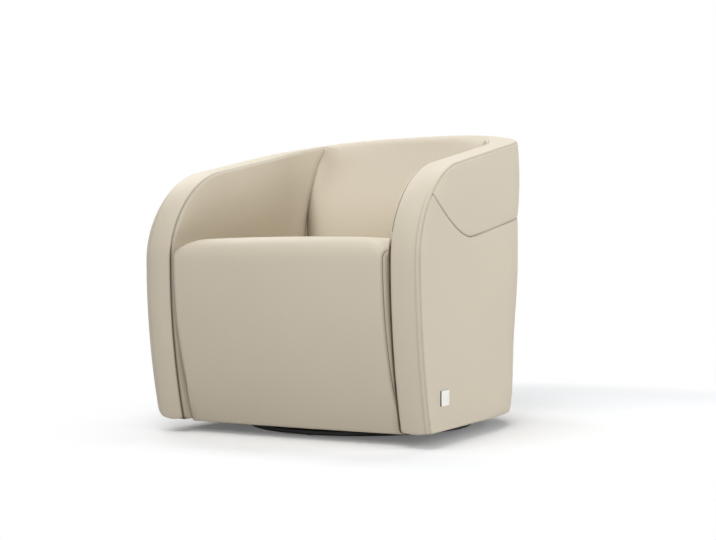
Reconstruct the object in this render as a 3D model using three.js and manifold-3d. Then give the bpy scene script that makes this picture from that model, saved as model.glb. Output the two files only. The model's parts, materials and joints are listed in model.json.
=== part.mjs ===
// Swivel club chair: a wrapped leather shell and a waterfall seat on a round base with a ball-bearing swivel.
// Millimetres, +Z up. The chair faces -Y, and the swivel axis is the Z axis, with the floor at z = 0.
import * as THREE from "three";
import { mergeVertices } from "three/addons/utils/BufferGeometryUtils.js";
import Module from "manifold-3d";

const wasm = await Module();
wasm.setup();

// Driving dimensions of the whole chair.
const halfWidth = 350; // middle of the chair to the outer face of an arm
const wallThickness = 74; // through an arm, from its outer face to its inner face
const frontFace = -397; // the arms' front faces, where they stand furthest forward
const cornerCentre = 45; // how far from the middle the centres of the rear corners' curves stand
const cornerStart = 92; // how far back the arms run straight
const backRadius = 620; // outer plan radius of the gently bowed back
const hemHeight = 35; // underside of the upholstery
const drawInHeight = 400; // below this height the front and the back lean in
const drawIn = 64; // how far the arms' front and the back lean in at the hem
const clearance = 0.3; // between neighbours that touch in use
const overrun = 5; // how far a cutting tool runs past what it cuts

// The rim: a straight climb from the arms to the back, rounded off at the front.
const rimAtAxis = 652; // rim height above the swivel axis
const rimSlope = 0.21; // climb of the rim towards the back
const noseLength = 197; // length of the rounded front of an arm
const noseDrop = 170; // how far the rim falls over that length

// Upholstery layers.
const rollDepth = 22; // padded band over the frame's edge
const rollCrown = 5; // extra depth along the middle of the band
const skinDepth = 12; // outer leather with its wadding
const yokePuff = 4; // how far the upper outer panel stands proud
const armPadCrown = 14; // how far the inner arm pad swells
const seamRise = { low: 448, back: 510 }; // lowest and rear height of the seam under the upper outer panel
const seamLowPlace = -130; // where that seam is lowest, along the arm
const seamStart = -333; // where it leaves the arm's band
const seamEase = 1.1; // power of its climb to the rear

// Seat.
const seatTop = 447;
const seatNose = -412; // front of the seat, where it stands furthest forward
const seatDrawIn = 99; // how far the seat's front leans in at the hem
const seatEdgeRadius = 50; // rounding from the seat's top to its front
const seatInnerRadius = 11; // the same inside, between deck and front board
const seatShoulder = { width: 80, fall: 40 }; // rounded sides of the seat's top
const seatFlank = { width: 24, fall: 13 }; // rounded sides of its front
const seatDepth = 122; // thickness of the cushion on its deck
const apronDepth = 42; // thickness of the cushion's front drop
const coverThickness = 3;
const seatSideGap = 1.2; // between the seat and the inner arms
const seatCrown = 5; // fall of the seat's surface from its middle towards the sides
const seatTopSteps = 6;
const seatTurnSteps = 4;
const seatFrontSteps = 7;
const seatSideSteps = 6; // from the seat's middle to each side

// Inside back.
const backHollow = 38; // how far the inside back's middle lies behind its sides at seat height
const backPadCrown = 12;
const creaseRun = { foot: 111.5, top: 170 }; // how far round the bend the inside back meets the inner arms
const creaseGap = 1.5; // between an inner arm pad and the inside back

// Frame.
const boardThickness = 18;
const railHeight = 58;
const railDepth = 25;
const deckHeight = seatTop - seatDepth;
const boardBottom = 38.5;
const windowMargin = 55; // timber left round the openings of the side frames
const windowRounding = 18;
const strapWidth = 60;
const strapThickness = 2.4;
const dustCoverThickness = 2;
const frontBoardThickness = 9;
const frontBoardSteps = 10;
const strapCount = 5;
const strapSteps = [3, 6, 9, 12]; // steps of the bend that carry a back strap
const postSteps = [[1, 2], [7, 9], [14, 15]]; // steps of the bend that hold a back post

// Round base and swivel.
const baseRadius = 272;
const baseThickness = 12;
const baseEdge = 3; // rounding of the base's rim
const glideHeight = 3.5;
const glideRadius = 15;
const glideCount = 6;
const glideInset = 36;
const glideEdge = 0.8;
const plateRadius = 150;
const plateThickness = 2.5;
const raceRadius = 120;
const raceWidth = 24;
const raceGap = 4; // between the two race rings
const ballRadius = 6;
const ballCount = 12;
const ballPlay = 0.8; // between a ball and the corners of its groove
const grooveSteps = 4;
const cageThickness = 2;
const cageWidth = 18;
const pinRadius = 8;
const pinHeadRadius = 16;
const pinHeadHeight = 3;
const nutRadius = 15;
const nutRoom = 24; // radius of the hole in the board round the nut
const nutHeight = 8;
const washerRadius = 18;
const washerThickness = 2;
const screwRadius = 2.6;
const screwHeadRadius = 5.2;
const screwHeadHeight = 2.6;
const screwDepth = 8;
const boltRadius = 4;
const boltHeadRadius = 7;
const boltHeadHeight = 4;
const fastenerCircle = 70; // radius of the circle that screws and bolts stand on
const fastenerCount = 4;
const roundSides = 54;
const raceSides = 48;
const smallSides = 14;
const hexagon = 6;
const ballSides = 8;
const ballRings = 6;

// Bare plate on the side.
const tagWidth = 40;
const tagHeight = 33;
const tagThickness = 2.4;
const tagPlace = { y: -280, z: 103 };
const cornerSteps = 3; // facets of a small rounded corner
const samePoint = 1e-4; // points nearer than this are one

// Worked out from the sizes above.
const middle = wallThickness / 2; // half the wall, on either side of its middle line
const wallLine = halfWidth - middle;
const lineCorner = wallLine - cornerCentre;
const lineBack = backRadius - middle;
const backTurn = Math.asin(cornerCentre / (lineBack - lineCorner));
const backCentre = cornerStart - (lineBack - lineCorner) * Math.cos(backTurn);
const rearFace = backCentre + backRadius;
const frameHalf = middle - skinDepth - clearance;
const baseTop = glideHeight + baseThickness;
const swivelMiddle = (baseTop + boardBottom) / 2;

const leather = { color: 0xd2c7b1, roughness: 0.55, metalness: 0 };
const foam = { color: 0xe8dfae, roughness: 0.95, metalness: 0 };
const timber = { color: 0xc79f6b, roughness: 0.75, metalness: 0 };
const webbing = { color: 0x4a4742, roughness: 0.9, metalness: 0 };
const blackPaint = { color: 0x141414, roughness: 0.5, metalness: 0.3 };
const steel = { color: 0x9a9da0, roughness: 0.35, metalness: 0.9 };
const rubber = { color: 0x1b1b1b, roughness: 0.9, metalness: 0 };
const lining = { color: 0x1e1e1f, roughness: 0.95, metalness: 0 };
const plate = { color: 0xeeeeea, roughness: 0.35, metalness: 0.1 };

const chair = new THREE.Group();
chair.name = "swivel_club_chair";

function addPiece(name, geometry, finish) {
  const mesh = new THREE.Mesh(geometry, new THREE.MeshStandardMaterial(finish));
  mesh.name = name;
  chair.add(mesh);
  return mesh;
}

// Solids: a closed geometry as a manifold solid, and back.
function solidFrom(geometry) {
  const bare = geometry.clone();
  bare.deleteAttribute("normal");
  bare.deleteAttribute("uv");
  const merged = mergeVertices(bare, samePoint);
  return new wasm.Manifold(
    new wasm.Mesh({
      numProp: 3,
      vertProperties: new Float32Array(merged.attributes.position.array),
      triVerts: new Uint32Array(merged.index.array),
    }),
  );
}

function geometryFrom(solid) {
  const mesh = solid.getMesh();
  const points = [];
  for (let i = 0; i < mesh.numVert; i++) {
    const at = i * mesh.numProp;
    points.push(...mesh.vertProperties.slice(at, at + 3));
  }
  const geometry = new THREE.BufferGeometry();
  geometry.setAttribute("position", new THREE.Float32BufferAttribute(points, 3));
  geometry.setIndex([...mesh.triVerts]);
  geometry.computeVertexNormals();
  return geometry;
}

// A box of one unit, cut into steps, whose points a function puts in place.
// Across, along and through run from 0 to 1.
function shapedBlock(steps, place) {
  const block = new THREE.BoxGeometry(1, 1, 1, ...steps);
  block.translate(1 / 2, 1 / 2, 1 / 2);
  const position = block.attributes.position;
  for (let i = 0; i < position.count; i++) {
    const point = place(position.getX(i), position.getY(i), position.getZ(i));
    position.setXYZ(i, ...point);
  }
  block.deleteAttribute("normal");
  block.deleteAttribute("uv");
  return mergeVertices(block, samePoint);
}

// Turns every face of a block round, for a place function that mirrors it.
function turnedOut(geometry) {
  const order = [...geometry.index.array];
  for (let i = 0; i < order.length; i += 3) {
    [order[i + 1], order[i + 2]] = [order[i + 2], order[i + 1]];
  }
  geometry.setIndex(order);
  return geometry;
}

function facingOut(geometry) {
  return solidFrom(geometry).volume() < 0 ? turnedOut(geometry) : geometry;
}

function boxBetween(low, high) {
  const size = high.map((value, k) => value - low[k]);
  const box = new THREE.BoxGeometry(...size);
  return box.translate(...low.map((value, k) => value + size[k] / 2));
}

function roundBar(radius, low, high, sides, x = 0, y = 0) {
  const bar = new THREE.CylinderGeometry(radius, radius, high - low, sides);
  return bar.rotateX(Math.PI / 2).translate(x, y, (low + high) / 2);
}

// A profile of [radius, height] pairs turned about the Z axis.
function turned(profile, sides = roundSides) {
  const points = profile.map(([radius, height]) => new THREE.Vector2(radius, height));
  const lathe = new THREE.LatheGeometry(points, sides).rotateX(Math.PI / 2);
  return facingOut(lathe.index ? mergedBare(lathe) : lathe);
}

function mergedBare(geometry) {
  geometry.deleteAttribute("normal");
  geometry.deleteAttribute("uv");
  return mergeVertices(geometry, samePoint);
}

function mix(a, b, share) {
  return a + (b - a) * share;
}

function smooth(share) {
  const kept = Math.min(1, Math.max(0, share));
  return kept * kept * (3 - 2 * kept);
}

// How far the front and the back lean in at a height.
function leanIn(z, amount) {
  const share = Math.max(0, (drawInHeight - z) / (drawInHeight - hemHeight));
  return amount * share * share;
}

function armFront(z) {
  return frontFace + leanIn(z, drawIn);
}

function rimHeight(y) {
  const noseEnd = frontFace + noseLength;
  const share = Math.min(1, Math.max(0, (noseEnd - y) / noseLength));
  return rimAtAxis + rimSlope * y - noseDrop * (1 - Math.sqrt(1 - share * share));
}

// The wall's middle line in plan, from the right arm's front round the back to the left arm's front.
function wallPath() {
  const path = new THREE.Path();
  const turnEnd = Math.PI / 2 - backTurn;
  path.moveTo(wallLine, frontFace);
  path.lineTo(wallLine, cornerStart);
  path.absarc(cornerCentre, cornerStart, lineCorner, 0, turnEnd, false);
  path.absarc(0, backCentre, lineBack, turnEnd, Math.PI - turnEnd, false);
  path.absarc(-cornerCentre, cornerStart, lineCorner, Math.PI - turnEnd, Math.PI, false);
  path.lineTo(-wallLine, frontFace);
  return path;
}

const wallLength = wallPath().getLength();
const armShare = (cornerStart - frontFace) / wallLength; // share of the path that one straight arm takes
const path = wallPath();

// A point of the wall: share runs along the path, out is measured from the wall's middle line.
function wallPoint(share, out, z) {
  const kept = Math.min(1, Math.max(0, share));
  const at = path.getPointAt(kept);
  const along = path.getTangentAt(kept);
  const x = at.x + along.y * out;
  let y = at.y - along.x * out;
  const bend = y - cornerStart;
  if (bend > 0) y = cornerStart + bend * (1 - leanIn(z, drawIn) / (rearFace - cornerStart));
  return [x, y, z];
}

// Steps along the wall, on each arm and on the bend between them.
const armSteps = 10;
const bendStepCount = 16;
const wallSteps = 2 * armSteps + bendStepCount;
const bendShare = (1 - 2 * armShare) / bendStepCount; // share of the path in one step of the bend

function stepShare(step) {
  if (step <= armSteps) return (step / armSteps) * armShare;
  if (step >= wallSteps - armSteps) return 1 - ((wallSteps - step) / armSteps) * armShare;
  return armShare + (step - armSteps) * bendShare;
}

function plainPoint({ share, out, z }) {
  return wallPoint(share, out, z);
}

// A stretch of wall between two steps: low and high give its heights at a share of the path.
function wallStretch(steps, outs, low, high, rows = 1, shape = plainPoint) {
  const [first, last] = steps;
  const block = shapedBlock([last - first, rows, 1], (along, up, through) => {
    const share = stepShare(mix(first, last, along));
    const z = mix(low(share), high(share), up);
    return shape({ share, out: mix(...outs, through), z, up, through });
  });
  return facingOut(block);
}

function placeDistance(share) {
  return wallPoint(share, 0, drawInHeight)[1];
}

// Height of the seam between the outer wrap and the upper outer panel: it falls from the band, then climbs.
function seamHeight(share) {
  const run = Math.min(share, 1 - share) * wallLength;
  const start = seamStart - frontFace;
  const lowest = seamLowPlace - frontFace;
  if (run < lowest) {
    const fallen = Math.max(0, (run - start) / (lowest - start));
    return mix(seamRise.low, rimHeight(seamStart), (1 - fallen) ** 2 * (1 + fallen / 2));
  }
  const climbed = (run - lowest) / (wallLength / 2 - lowest);
  return mix(seamRise.low, seamRise.back, Math.sin((climbed * Math.PI) / 2) ** seamEase);
}

// The band's line on the right half: how far it has gone along the wall's path, and its height.
const frontTurn = 0.15; // share of the band's steps that one arm's front takes
const noseTurn = 0.13; // and the share that its rounded nose takes
const bandSteps = 60;
const bandAcross = 4;
const nudge = 0.002; // share of the band between a point and its neighbours that give its direction

function bandLine(half) {
  if (half <= frontTurn) {
    const z = mix(hemHeight, drawInHeight, half / frontTurn);
    return { run: leanIn(z, drawIn), z };
  }
  const nose = (half - frontTurn) / noseTurn;
  const run = nose < 1
    ? noseLength * (1 - Math.cos((nose * Math.PI) / 2))
    : mix(noseLength, wallLength / 2, (half - frontTurn - noseTurn) / (1 / 2 - frontTurn - noseTurn));
  return { run, z: rimHeight(wallPoint(run / wallLength, 0, drawInHeight)[1]) };
}

// A point of the band: out across it, depth down into the wall, by its own line's direction.
function bandPoint(step, out, depth, lowest) {
  const half = Math.min(step, 1 - step);
  const mirror = step < 1 / 2 ? 1 : -1;
  const before = bandLine(Math.max(0, half - nudge));
  const after = bandLine(Math.min(1 / 2, half + nudge));
  const here = bandLine(half);
  const tilt = half > 1 / 2 - nudge ? 0 : Math.atan2(after.z - before.z, after.run - before.run);
  const share = here.run / wallLength;
  const along = path.getTangentAt(share);
  const [x, y] = wallPoint(share, out, drawInHeight);
  const inward = -Math.sin(tilt) * depth;
  const z = here.z + Math.cos(tilt) * depth;
  return [mirror * (x + along.x * inward), y + along.y * inward, Math.max(lowest, z)];
}

function bandBlock(grown) {
  const edge = middle + grown;
  const block = shapedBlock([bandSteps, bandAcross, 1], (step, across, through) => {
    const out = mix(-edge, edge, across);
    const crown = rollCrown * (1 - (out / edge) ** 2);
    const depth = mix(-rollDepth - grown, crown + grown, through);
    return bandPoint(step, out, depth, hemHeight - (grown && overrun));
  });
  return facingOut(block);
}

const bandCutter = solidFrom(bandBlock(clearance));

function trimmed(geometry, ...cutters) {
  let solid = solidFrom(geometry);
  for (const cutter of cutters) solid = solid.subtract(cutter);
  return solid;
}

function largest(solid) {
  return solid.decompose().sort((a, b) => b.volume() - a.volume())[0];
}

// Panels run on under the band by this much and are trimmed by it.
const tuck = rollDepth - overrun;

function panelTop(share) {
  const y = Math.max(placeDistance(share), frontFace + rollDepth);
  return rimHeight(y) - tuck;
}

function panelPoint({ share, out, z }) {
  const [x, y] = wallPoint(share, out, z);
  if (y >= cornerStart) return [x, y, z];
  const kept = (y - frontFace) / (cornerStart - frontFace);
  return [x, mix(armFront(z) + tuck, cornerStart, Math.max(0, kept)), z];
}

const skinRows = 6;

// The outer skin, in one solid that the seam then parts: the wrap below it and the upper panel above.
function outerSkin() {
  const wholeWall = [0, wallSteps];
  const skinSpan = [middle - skinDepth, middle];
  const skin = wallStretch(wholeWall, skinSpan, () => hemHeight, panelTop, skinRows, (point) => {
    const seam = seamHeight(point.share);
    const top = panelTop(point.share);
    const aboveSeam = Math.max(0, Math.min(1, (point.z - seam) / Math.max(top - seam, overrun)));
    const puff = yokePuff * Math.sin(Math.PI * aboveSeam) * point.through;
    return panelPoint({ ...point, out: point.out + puff });
  });
  const ribbon = wallStretch(
    wholeWall,
    [middle - skinDepth - overrun, middle + overrun],
    seamHeight,
    (share) => seamHeight(share) + 2 * clearance,
    1,
    panelPoint,
  );
  const parts = trimmed(skin, bandCutter, solidFrom(ribbon)).decompose();
  const [one, other] = parts.sort((a, b) => b.volume() - a.volume());
  return { wrap: geometryFrom(one), upper: geometryFrom(other) };
}

const skin = outerSkin();
addPiece("outer_wrap", skin.wrap, leather);
addPiece("upper_outer_panel", skin.upper, leather);
addPiece("rim_band", bandBlock(0), leather);

// The core of the wall's bend, where the back frame stands. Its rows follow the lean of the back.
const core = [-frameHalf, frameHalf];
const bendSteps = [armSteps, armSteps + bendStepCount];
const everyHeight = 2 * rimAtAxis;
const leanRows = 5;
const postGap = 4 * clearance; // above the upper posts, under the sloping top rail
const coreRows = 3;

function wallCore(outs) {
  const leaning = wallStretch(bendSteps, outs, () => 0, () => drawInHeight, leanRows);
  const upright = wallStretch(bendSteps, outs, () => drawInHeight, () => everyHeight);
  return solidFrom(leaning).add(solidFrom(upright));
}

const coreRoom = wallCore(core);
const coreCutter = wallCore([-frameHalf - clearance, wallThickness + overrun]);
const strapCutter = wallCore([-frameHalf - strapThickness - 2 * clearance, wallThickness + overrun]);
const skinCutter = solidFrom(
  wallStretch(
    [0, wallSteps],
    [middle - skinDepth - clearance, middle + overrun],
    () => hemHeight,
    panelTop,
    skinRows,
    panelPoint,
  ),
);

// A piece of the back frame between two steps, fitted inside the pads, the skin and the band.
function corePiece(steps, low, high) {
  const block = solidFrom(wallStretch(steps, core, low, high, coreRows));
  return geometryFrom(largest(block.intersect(coreRoom).subtract(skinCutter).subtract(bandCutter)));
}

// The crease between the inner arms and the inside back leans back as it climbs.
function creaseShare(up) {
  return armShare + mix(creaseRun.foot, creaseRun.top, smooth(up)) / wallLength;
}

const padRows = 6;
const backAcross = 14;
const armAlong = 10;

function aboveSeat(z, top) {
  return Math.max(0, Math.min(1, (z - seatTop) / (top - seatTop)));
}

// Where the crease stands in plan at seat height: half the inside back's width, and its distance back.
const creaseFoot = wallPoint(creaseShare(0), -middle, seatTop);

// The inside back's plan is a shallow hollow at seat height that turns into the rim's own curve at the top.
function footPlace(x) {
  return creaseFoot[1] + backHollow * (1 - (x / creaseFoot[0]) ** 2);
}

function insideBack() {
  const block = shapedBlock([backAcross, padRows, 1], (across, up, through) => {
    const crease = creaseShare(up);
    const share = mix(1 - crease, crease, across);
    const top = rimHeight(placeDistance(share)) - tuck;
    const z = mix(deckHeight, top, up);
    const behind = wallPoint(share, -frameHalf - 2 * clearance - strapThickness, z);
    const atRim = wallPoint(share, -middle, z);
    const edge = wallPoint(crease, -middle, z);
    const side = 2 * across - 1;
    const climb = smooth(aboveSeat(z, top));
    const swell = backPadCrown * Math.sin(Math.PI * aboveSeat(z, top)) * Math.sin(Math.PI * across);
    const foot = [edge[0] * side, edge[1] + backHollow * (1 - side * side)];
    const front = [mix(foot[0], atRim[0], climb), mix(foot[1], atRim[1], climb) - swell];
    return [mix(behind[0], front[0], through), mix(behind[1], front[1], through), z];
  });
  return geometryFrom(largest(trimmed(facingOut(block), bandCutter, strapCutter)));
}

// An inner arm pad: flat beside the seat and swelling above it, from the band back to the crease.
function innerArm(side) {
  const block = shapedBlock([armAlong, padRows, 1], (along, up, through) => {
    const share = mix(0, creaseShare(up) - creaseGap / wallLength, along);
    const top = panelTop(share);
    const z = mix(deckHeight, top, up);
    const swell = armPadCrown * Math.sin(Math.PI * aboveSeat(z, top)) * Math.sin(Math.PI * along);
    const out = mix(-frameHalf - clearance, -middle - swell, through);
    const [x, y, height] = panelPoint({ share, out, z });
    return [side * x, y, height];
  });
  return geometryFrom(largest(trimmed(facingOut(block), bandCutter, coreCutter)));
}

addPiece("inside_back", insideBack(), leather);
addPiece("inner_arm_left", innerArm(-1), leather);
addPiece("inner_arm_right", innerArm(1), leather);

// Seat: one waterfall cushion, its foam and the leather round it, open underneath.
const seatHalf = wallLine - middle - seatSideGap;
const seatFrontStart = seatNose + seatEdgeRadius;
const seatSteps = seatTopSteps + seatTurnSteps + seatFrontSteps;

function seatFront(z) {
  return seatNose + leanIn(z, seatDrawIn);
}

// Half the seat's width at a distance back, where it narrows between the rear corners.
function seatHalfAt(y) {
  if (y <= cornerStart) return seatHalf;
  const reach = lineCorner - middle - creaseGap - clearance;
  return cornerCentre + Math.sqrt(reach ** 2 - (y - cornerStart) ** 2);
}

// The cushion in the side view at a step: its outside, its inside and the way out.
// Front is 0 on top and 1 in front.
function seatOutline(step, inset, reach) {
  const deck = deckHeight - reach;
  const innerStart = seatNose + apronDepth + reach + seatInnerRadius;
  if (step <= seatTopSteps) {
    const share = step / seatTopSteps;
    const rear = creaseFoot[1] - creaseGap - inset;
    const outer = [mix(rear, seatFrontStart, share), seatTop - inset];
    return { outer, inner: [mix(rear, innerStart, share), deck], out: [0, 1], front: 0, behind: 1 - share };
  }
  if (step <= seatTopSteps + seatTurnSteps) {
    const share = (step - seatTopSteps) / seatTurnSteps;
    const angle = (share * Math.PI) / 2;
    const out = [-Math.sin(angle), Math.cos(angle)];
    const swung = (y, z, radius) => [y + out[0] * radius, z + out[1] * radius];
    const outer = swung(seatFrontStart, seatTop - seatEdgeRadius, seatEdgeRadius - inset);
    const inner = swung(innerStart, deck - seatInnerRadius, seatInnerRadius);
    return { outer, inner, out, front: smooth(share), behind: 0 };
  }
  const down = (step - seatTopSteps - seatTurnSteps) / seatFrontSteps;
  const foot = hemHeight + clearance + inset;
  const z = mix(seatTop - seatEdgeRadius, foot, down);
  const innerZ = mix(deck - seatInnerRadius, foot, down);
  const inner = [seatFront(innerZ) + apronDepth + reach, innerZ];
  return { outer: [seatFront(z) + inset, z], inner, out: [-1, 0], front: 1, behind: 0 };
}

// Flat in the middle and rounded off over the last half of the steps to each side.
function seatForm(inset, reach) {
  const block = shapedBlock([2 * seatSideSteps, seatSteps, 1], (across, along, through) => {
    const side = 2 * across - 1;
    const { outer, inner, out, front, behind } = seatOutline(Math.round(along * seatSteps), inset, reach);
    const width = mix(seatShoulder.width, seatFlank.width, front);
    const half = seatHalfAt(outer[0]) - inset;
    const turn = Math.PI * Math.max(0, Math.abs(side) - 1 / 2);
    const flat = Math.min(1, 2 * Math.abs(side)) * (half - width);
    const x = Math.sign(side) * (flat + width * Math.sin(turn));
    const bow = behind * (footPlace(x) - creaseFoot[1]);
    const edgeFall = mix(seatShoulder.fall, seatFlank.fall, front) * (1 - Math.cos(turn));
    const fall = edgeFall + seatCrown * (x / half) ** 2;
    const y = mix(inner[0], outer[0] - out[0] * fall, through) + bow;
    return [x, y, mix(inner[1], outer[1] - out[1] * fall, through)];
  });
  return solidFrom(facingOut(block));
}

function seatPieces() {
  const hollow = seatForm(coverThickness, overrun);
  const filling = seatForm(coverThickness + clearance, 0);
  addPiece("seat_cover", geometryFrom(largest(seatForm(0, 0).subtract(hollow))), leather);
  addPiece("seat_foam", geometryFrom(filling), foam);
}

seatPieces();

// Frame: two side frames, curved rails and posts in the back, seat rails and the board over the swivel.
function sideOutline() {
  const outline = [];
  const depth = -rollDepth - clearance;
  for (let step = 0; step <= bandSteps / 2; step++) {
    const [, y, z] = bandPoint(step / bandSteps, 0, depth, 0);
    if (z > boardBottom && y < cornerStart - overrun) outline.push([y, z]);
  }
  const [lastY, lastZ] = outline[outline.length - 1];
  const endY = cornerStart - clearance;
  outline.push([endY, lastZ + rimSlope * (endY - lastY)], [endY, boardBottom]);
  outline.push([armFront(boardBottom) + rollDepth + clearance, boardBottom]);
  return outline;
}

function roundedWindow(low, high, radius) {
  const hole = new THREE.Path();
  hole.moveTo(low[0] + radius, low[1]);
  hole.lineTo(high[0] - radius, low[1]);
  hole.absarc(high[0] - radius, low[1] + radius, radius, -Math.PI / 2, 0, false);
  hole.absarc(high[0] - radius, high[1] - radius, radius, 0, Math.PI / 2, false);
  hole.absarc(low[0] + radius, high[1] - radius, radius, Math.PI / 2, Math.PI, false);
  hole.absarc(low[0] + radius, low[1] + radius, radius, Math.PI, (3 * Math.PI) / 2, false);
  return hole;
}

function sideFrame(side) {
  const shape = new THREE.Shape(sideOutline().map(([y, z]) => new THREE.Vector2(y, z)));
  const front = armFront(boardBottom) + rollDepth + windowMargin;
  const rear = cornerStart - windowMargin;
  const between = (front + rear) / 2;
  const low = boardBottom + windowMargin;
  const deckLow = deckHeight - railHeight;
  const upper = deckHeight + windowMargin / 2;
  const upperTop = rimHeight(front) - rollDepth - windowMargin;
  for (const [start, end] of [
    [[front, low], [between - windowMargin / 2, deckLow]],
    [[between + windowMargin / 2, low], [rear, deckLow]],
    [[front, upper], [rear, upperTop]],
  ]) {
    shape.holes.push(roundedWindow(start, end, windowRounding));
  }
  const thickness = { depth: 2 * frameHalf, bevelEnabled: false, curveSegments: cornerSteps };
  const solid = new THREE.ExtrudeGeometry(shape, thickness);
  solid.rotateX(Math.PI / 2).rotateZ(Math.PI / 2);
  return solid.translate(side * wallLine - frameHalf, 0, 0);
}

addPiece("side_frame_left", sideFrame(-1), timber);
addPiece("side_frame_right", sideFrame(1), timber);

const railTop = deckHeight - strapThickness - clearance;
const railLow = railTop - railHeight;
const lowRailTop = boardBottom + railHeight;

function topRailLow(share) {
  return rimHeight(placeDistance(share)) - rollDepth - railHeight;
}

function backFrame() {
  addPiece("back_rail_bottom", corePiece(bendSteps, () => boardBottom, () => lowRailTop), timber);
  addPiece("back_rail_middle", corePiece(bendSteps, () => railLow, () => railTop), timber);
  const topHigh = (share) => topRailLow(share) + railHeight + overrun;
  addPiece("back_rail_top", corePiece(bendSteps, topRailLow, topHigh), timber);
  postSteps.forEach(([first, last], index) => {
    const steps = [armSteps + first, armSteps + last];
    const lower = corePiece(steps, () => lowRailTop, () => railLow);
    const upper = corePiece(steps, () => railTop, (share) => topRailLow(share) - postGap);
    addPiece(`back_post_lower_${index + 1}`, lower, timber);
    addPiece(`back_post_upper_${index + 1}`, upper, timber);
  });
}

backFrame();

function backStraps() {
  const outs = [-middle, frameHalf];
  const layer = wallCore([-frameHalf - clearance - strapThickness, frameHalf]);
  const reach = (share) => topRailLow(share) + railHeight / 2;
  strapSteps.forEach((first, index) => {
    const steps = [armSteps + first, armSteps + first + 1];
    const strap = wallStretch(steps, outs, () => railLow + railHeight / 2, reach, coreRows);
    const fitted = solidFrom(strap).intersect(layer).subtract(coreCutter);
    addPiece(`back_strap_${index + 1}`, geometryFrom(largest(fitted)), webbing);
  });
}

backStraps();

const frameSpan = wallLine - frameHalf - clearance; // half the room between the side frames
const boardFace = apronDepth + 2 * clearance; // from the seat's front to the front board

function frontBoard() {
  const block = shapedBlock([1, frontBoardSteps, 1], (across, up, through) => {
    const z = mix(boardBottom, railTop, up);
    const y = seatFront(z) + boardFace + frontBoardThickness * through;
    return [mix(-frameSpan, frameSpan, across), y, z];
  });
  return facingOut(block);
}

const frontRailFace = seatFront(railLow) + boardFace + frontBoardThickness + clearance;
const rearRailFace = creaseFoot[1];

function seatRails() {
  const railAt = (face) => boxBetween([-frameSpan, face, railLow], [frameSpan, face + railDepth, railTop]);
  addPiece("seat_rail_front", railAt(frontRailFace), timber);
  addPiece("seat_rail_rear", geometryFrom(largest(trimmed(railAt(rearRailFace), coreCutter))), timber);
  for (const [name, side] of [["left", -1], ["right", 1]]) {
    const x = Math.min(side * frameSpan, side * (frameSpan - railDepth));
    const low = [x, frontRailFace + railDepth + clearance, railLow];
    addPiece(`seat_cleat_${name}`, boxBetween(low, [x + railDepth, cornerStart, railTop]), timber);
  }
}

function seatStraps() {
  const spread = frameSpan - railDepth - strapWidth;
  for (let index = 0; index < strapCount; index++) {
    const x = mix(-spread, spread, index / (strapCount - 1));
    const low = [x - strapWidth / 2, frontRailFace, railTop];
    const high = [x + strapWidth / 2, rearRailFace + railDepth / 2, railTop + strapThickness];
    addPiece(`seat_strap_${index + 1}`, boxBetween(low, high), webbing);
  }
}

addPiece("front_board", frontBoard(), timber);
seatRails();
seatStraps();

function onCircle(radius, count, index, turn = 0) {
  const angle = (2 * Math.PI * (index + turn)) / count;
  return [radius * Math.cos(angle), radius * Math.sin(angle)];
}

function drilled(geometry, radius, places, low, high, sides = smallSides) {
  const holes = places.map(([x, y]) => solidFrom(roundBar(radius, low, high, sides, x, y)));
  return trimmed(geometry, ...holes);
}

const places = Array.from({ length: fastenerCount }, (_, index) => index);
const screwPlaces = places.map((index) => onCircle(fastenerCircle, fastenerCount, index));
const boltPlaces = places.map((index) => onCircle(fastenerCircle, fastenerCount, index, 1 / 2));

const boardFront = seatFront(boardBottom) + boardFace + frontBoardThickness + clearance;

// The board that the swivel bolts to, in the plan of the space inside the wall.
function baseBoard() {
  const low = [-frameSpan, boardFront, boardBottom];
  const sheet = boxBetween(low, [frameSpan, rearFace, boardBottom + boardThickness]);
  const fitted = geometryFrom(largest(trimmed(sheet, coreCutter)));
  const centre = drilled(fitted, nutRoom, [[0, 0]], 0, everyHeight, roundSides / 2);
  return geometryFrom(drilled(geometryFrom(centre), boltRadius + clearance, boltPlaces, 0, everyHeight));
}

// A cloth under the whole frame, out to the leather's inner face.
function dustCover() {
  const reach = wallLine + frameHalf;
  const armEnd = armFront(boardBottom);
  const seatEnd = seatFront(boardBottom) + apronDepth + coverThickness;
  const seatSide = seatHalf + seatSideGap;
  const outline = [[-reach, armEnd], [-seatSide, armEnd], [-seatSide, seatEnd], [seatSide, seatEnd]];
  outline.push([seatSide, armEnd], [reach, armEnd], [reach, rearFace], [-reach, rearFace]);
  const cloth = new THREE.Shape(outline.map(([x, y]) => new THREE.Vector2(x, y)));
  const sheet = new THREE.ExtrudeGeometry(cloth, { depth: dustCoverThickness, bevelEnabled: false });
  sheet.translate(0, 0, boardBottom - clearance - dustCoverThickness);
  const fitted = geometryFrom(largest(trimmed(sheet, skinCutter, bandCutter)));
  return geometryFrom(drilled(fitted, plateRadius + overrun, [[0, 0]], 0, everyHeight, roundSides / 2));
}

addPiece("base_board", baseBoard(), timber);
addPiece("dust_cover", dustCover(), lining);

// Round base on its glides.
function roundBase() {
  const low = glideHeight;
  const disc = turned([
    [0, low],
    [baseRadius - baseEdge, low],
    [baseRadius, low + baseEdge],
    [baseRadius, baseTop - baseEdge],
    [baseRadius - baseEdge, baseTop],
    [0, baseTop],
  ]);
  const headRoom = baseTop - pinHeadHeight - clearance;
  const sunk = drilled(disc, pinHeadRadius + clearance, [[0, 0]], headRoom, everyHeight);
  const screwFloor = baseTop - screwDepth - clearance;
  const screwBore = screwRadius + clearance;
  return geometryFrom(drilled(geometryFrom(sunk), screwBore, screwPlaces, screwFloor, everyHeight));
}

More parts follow.
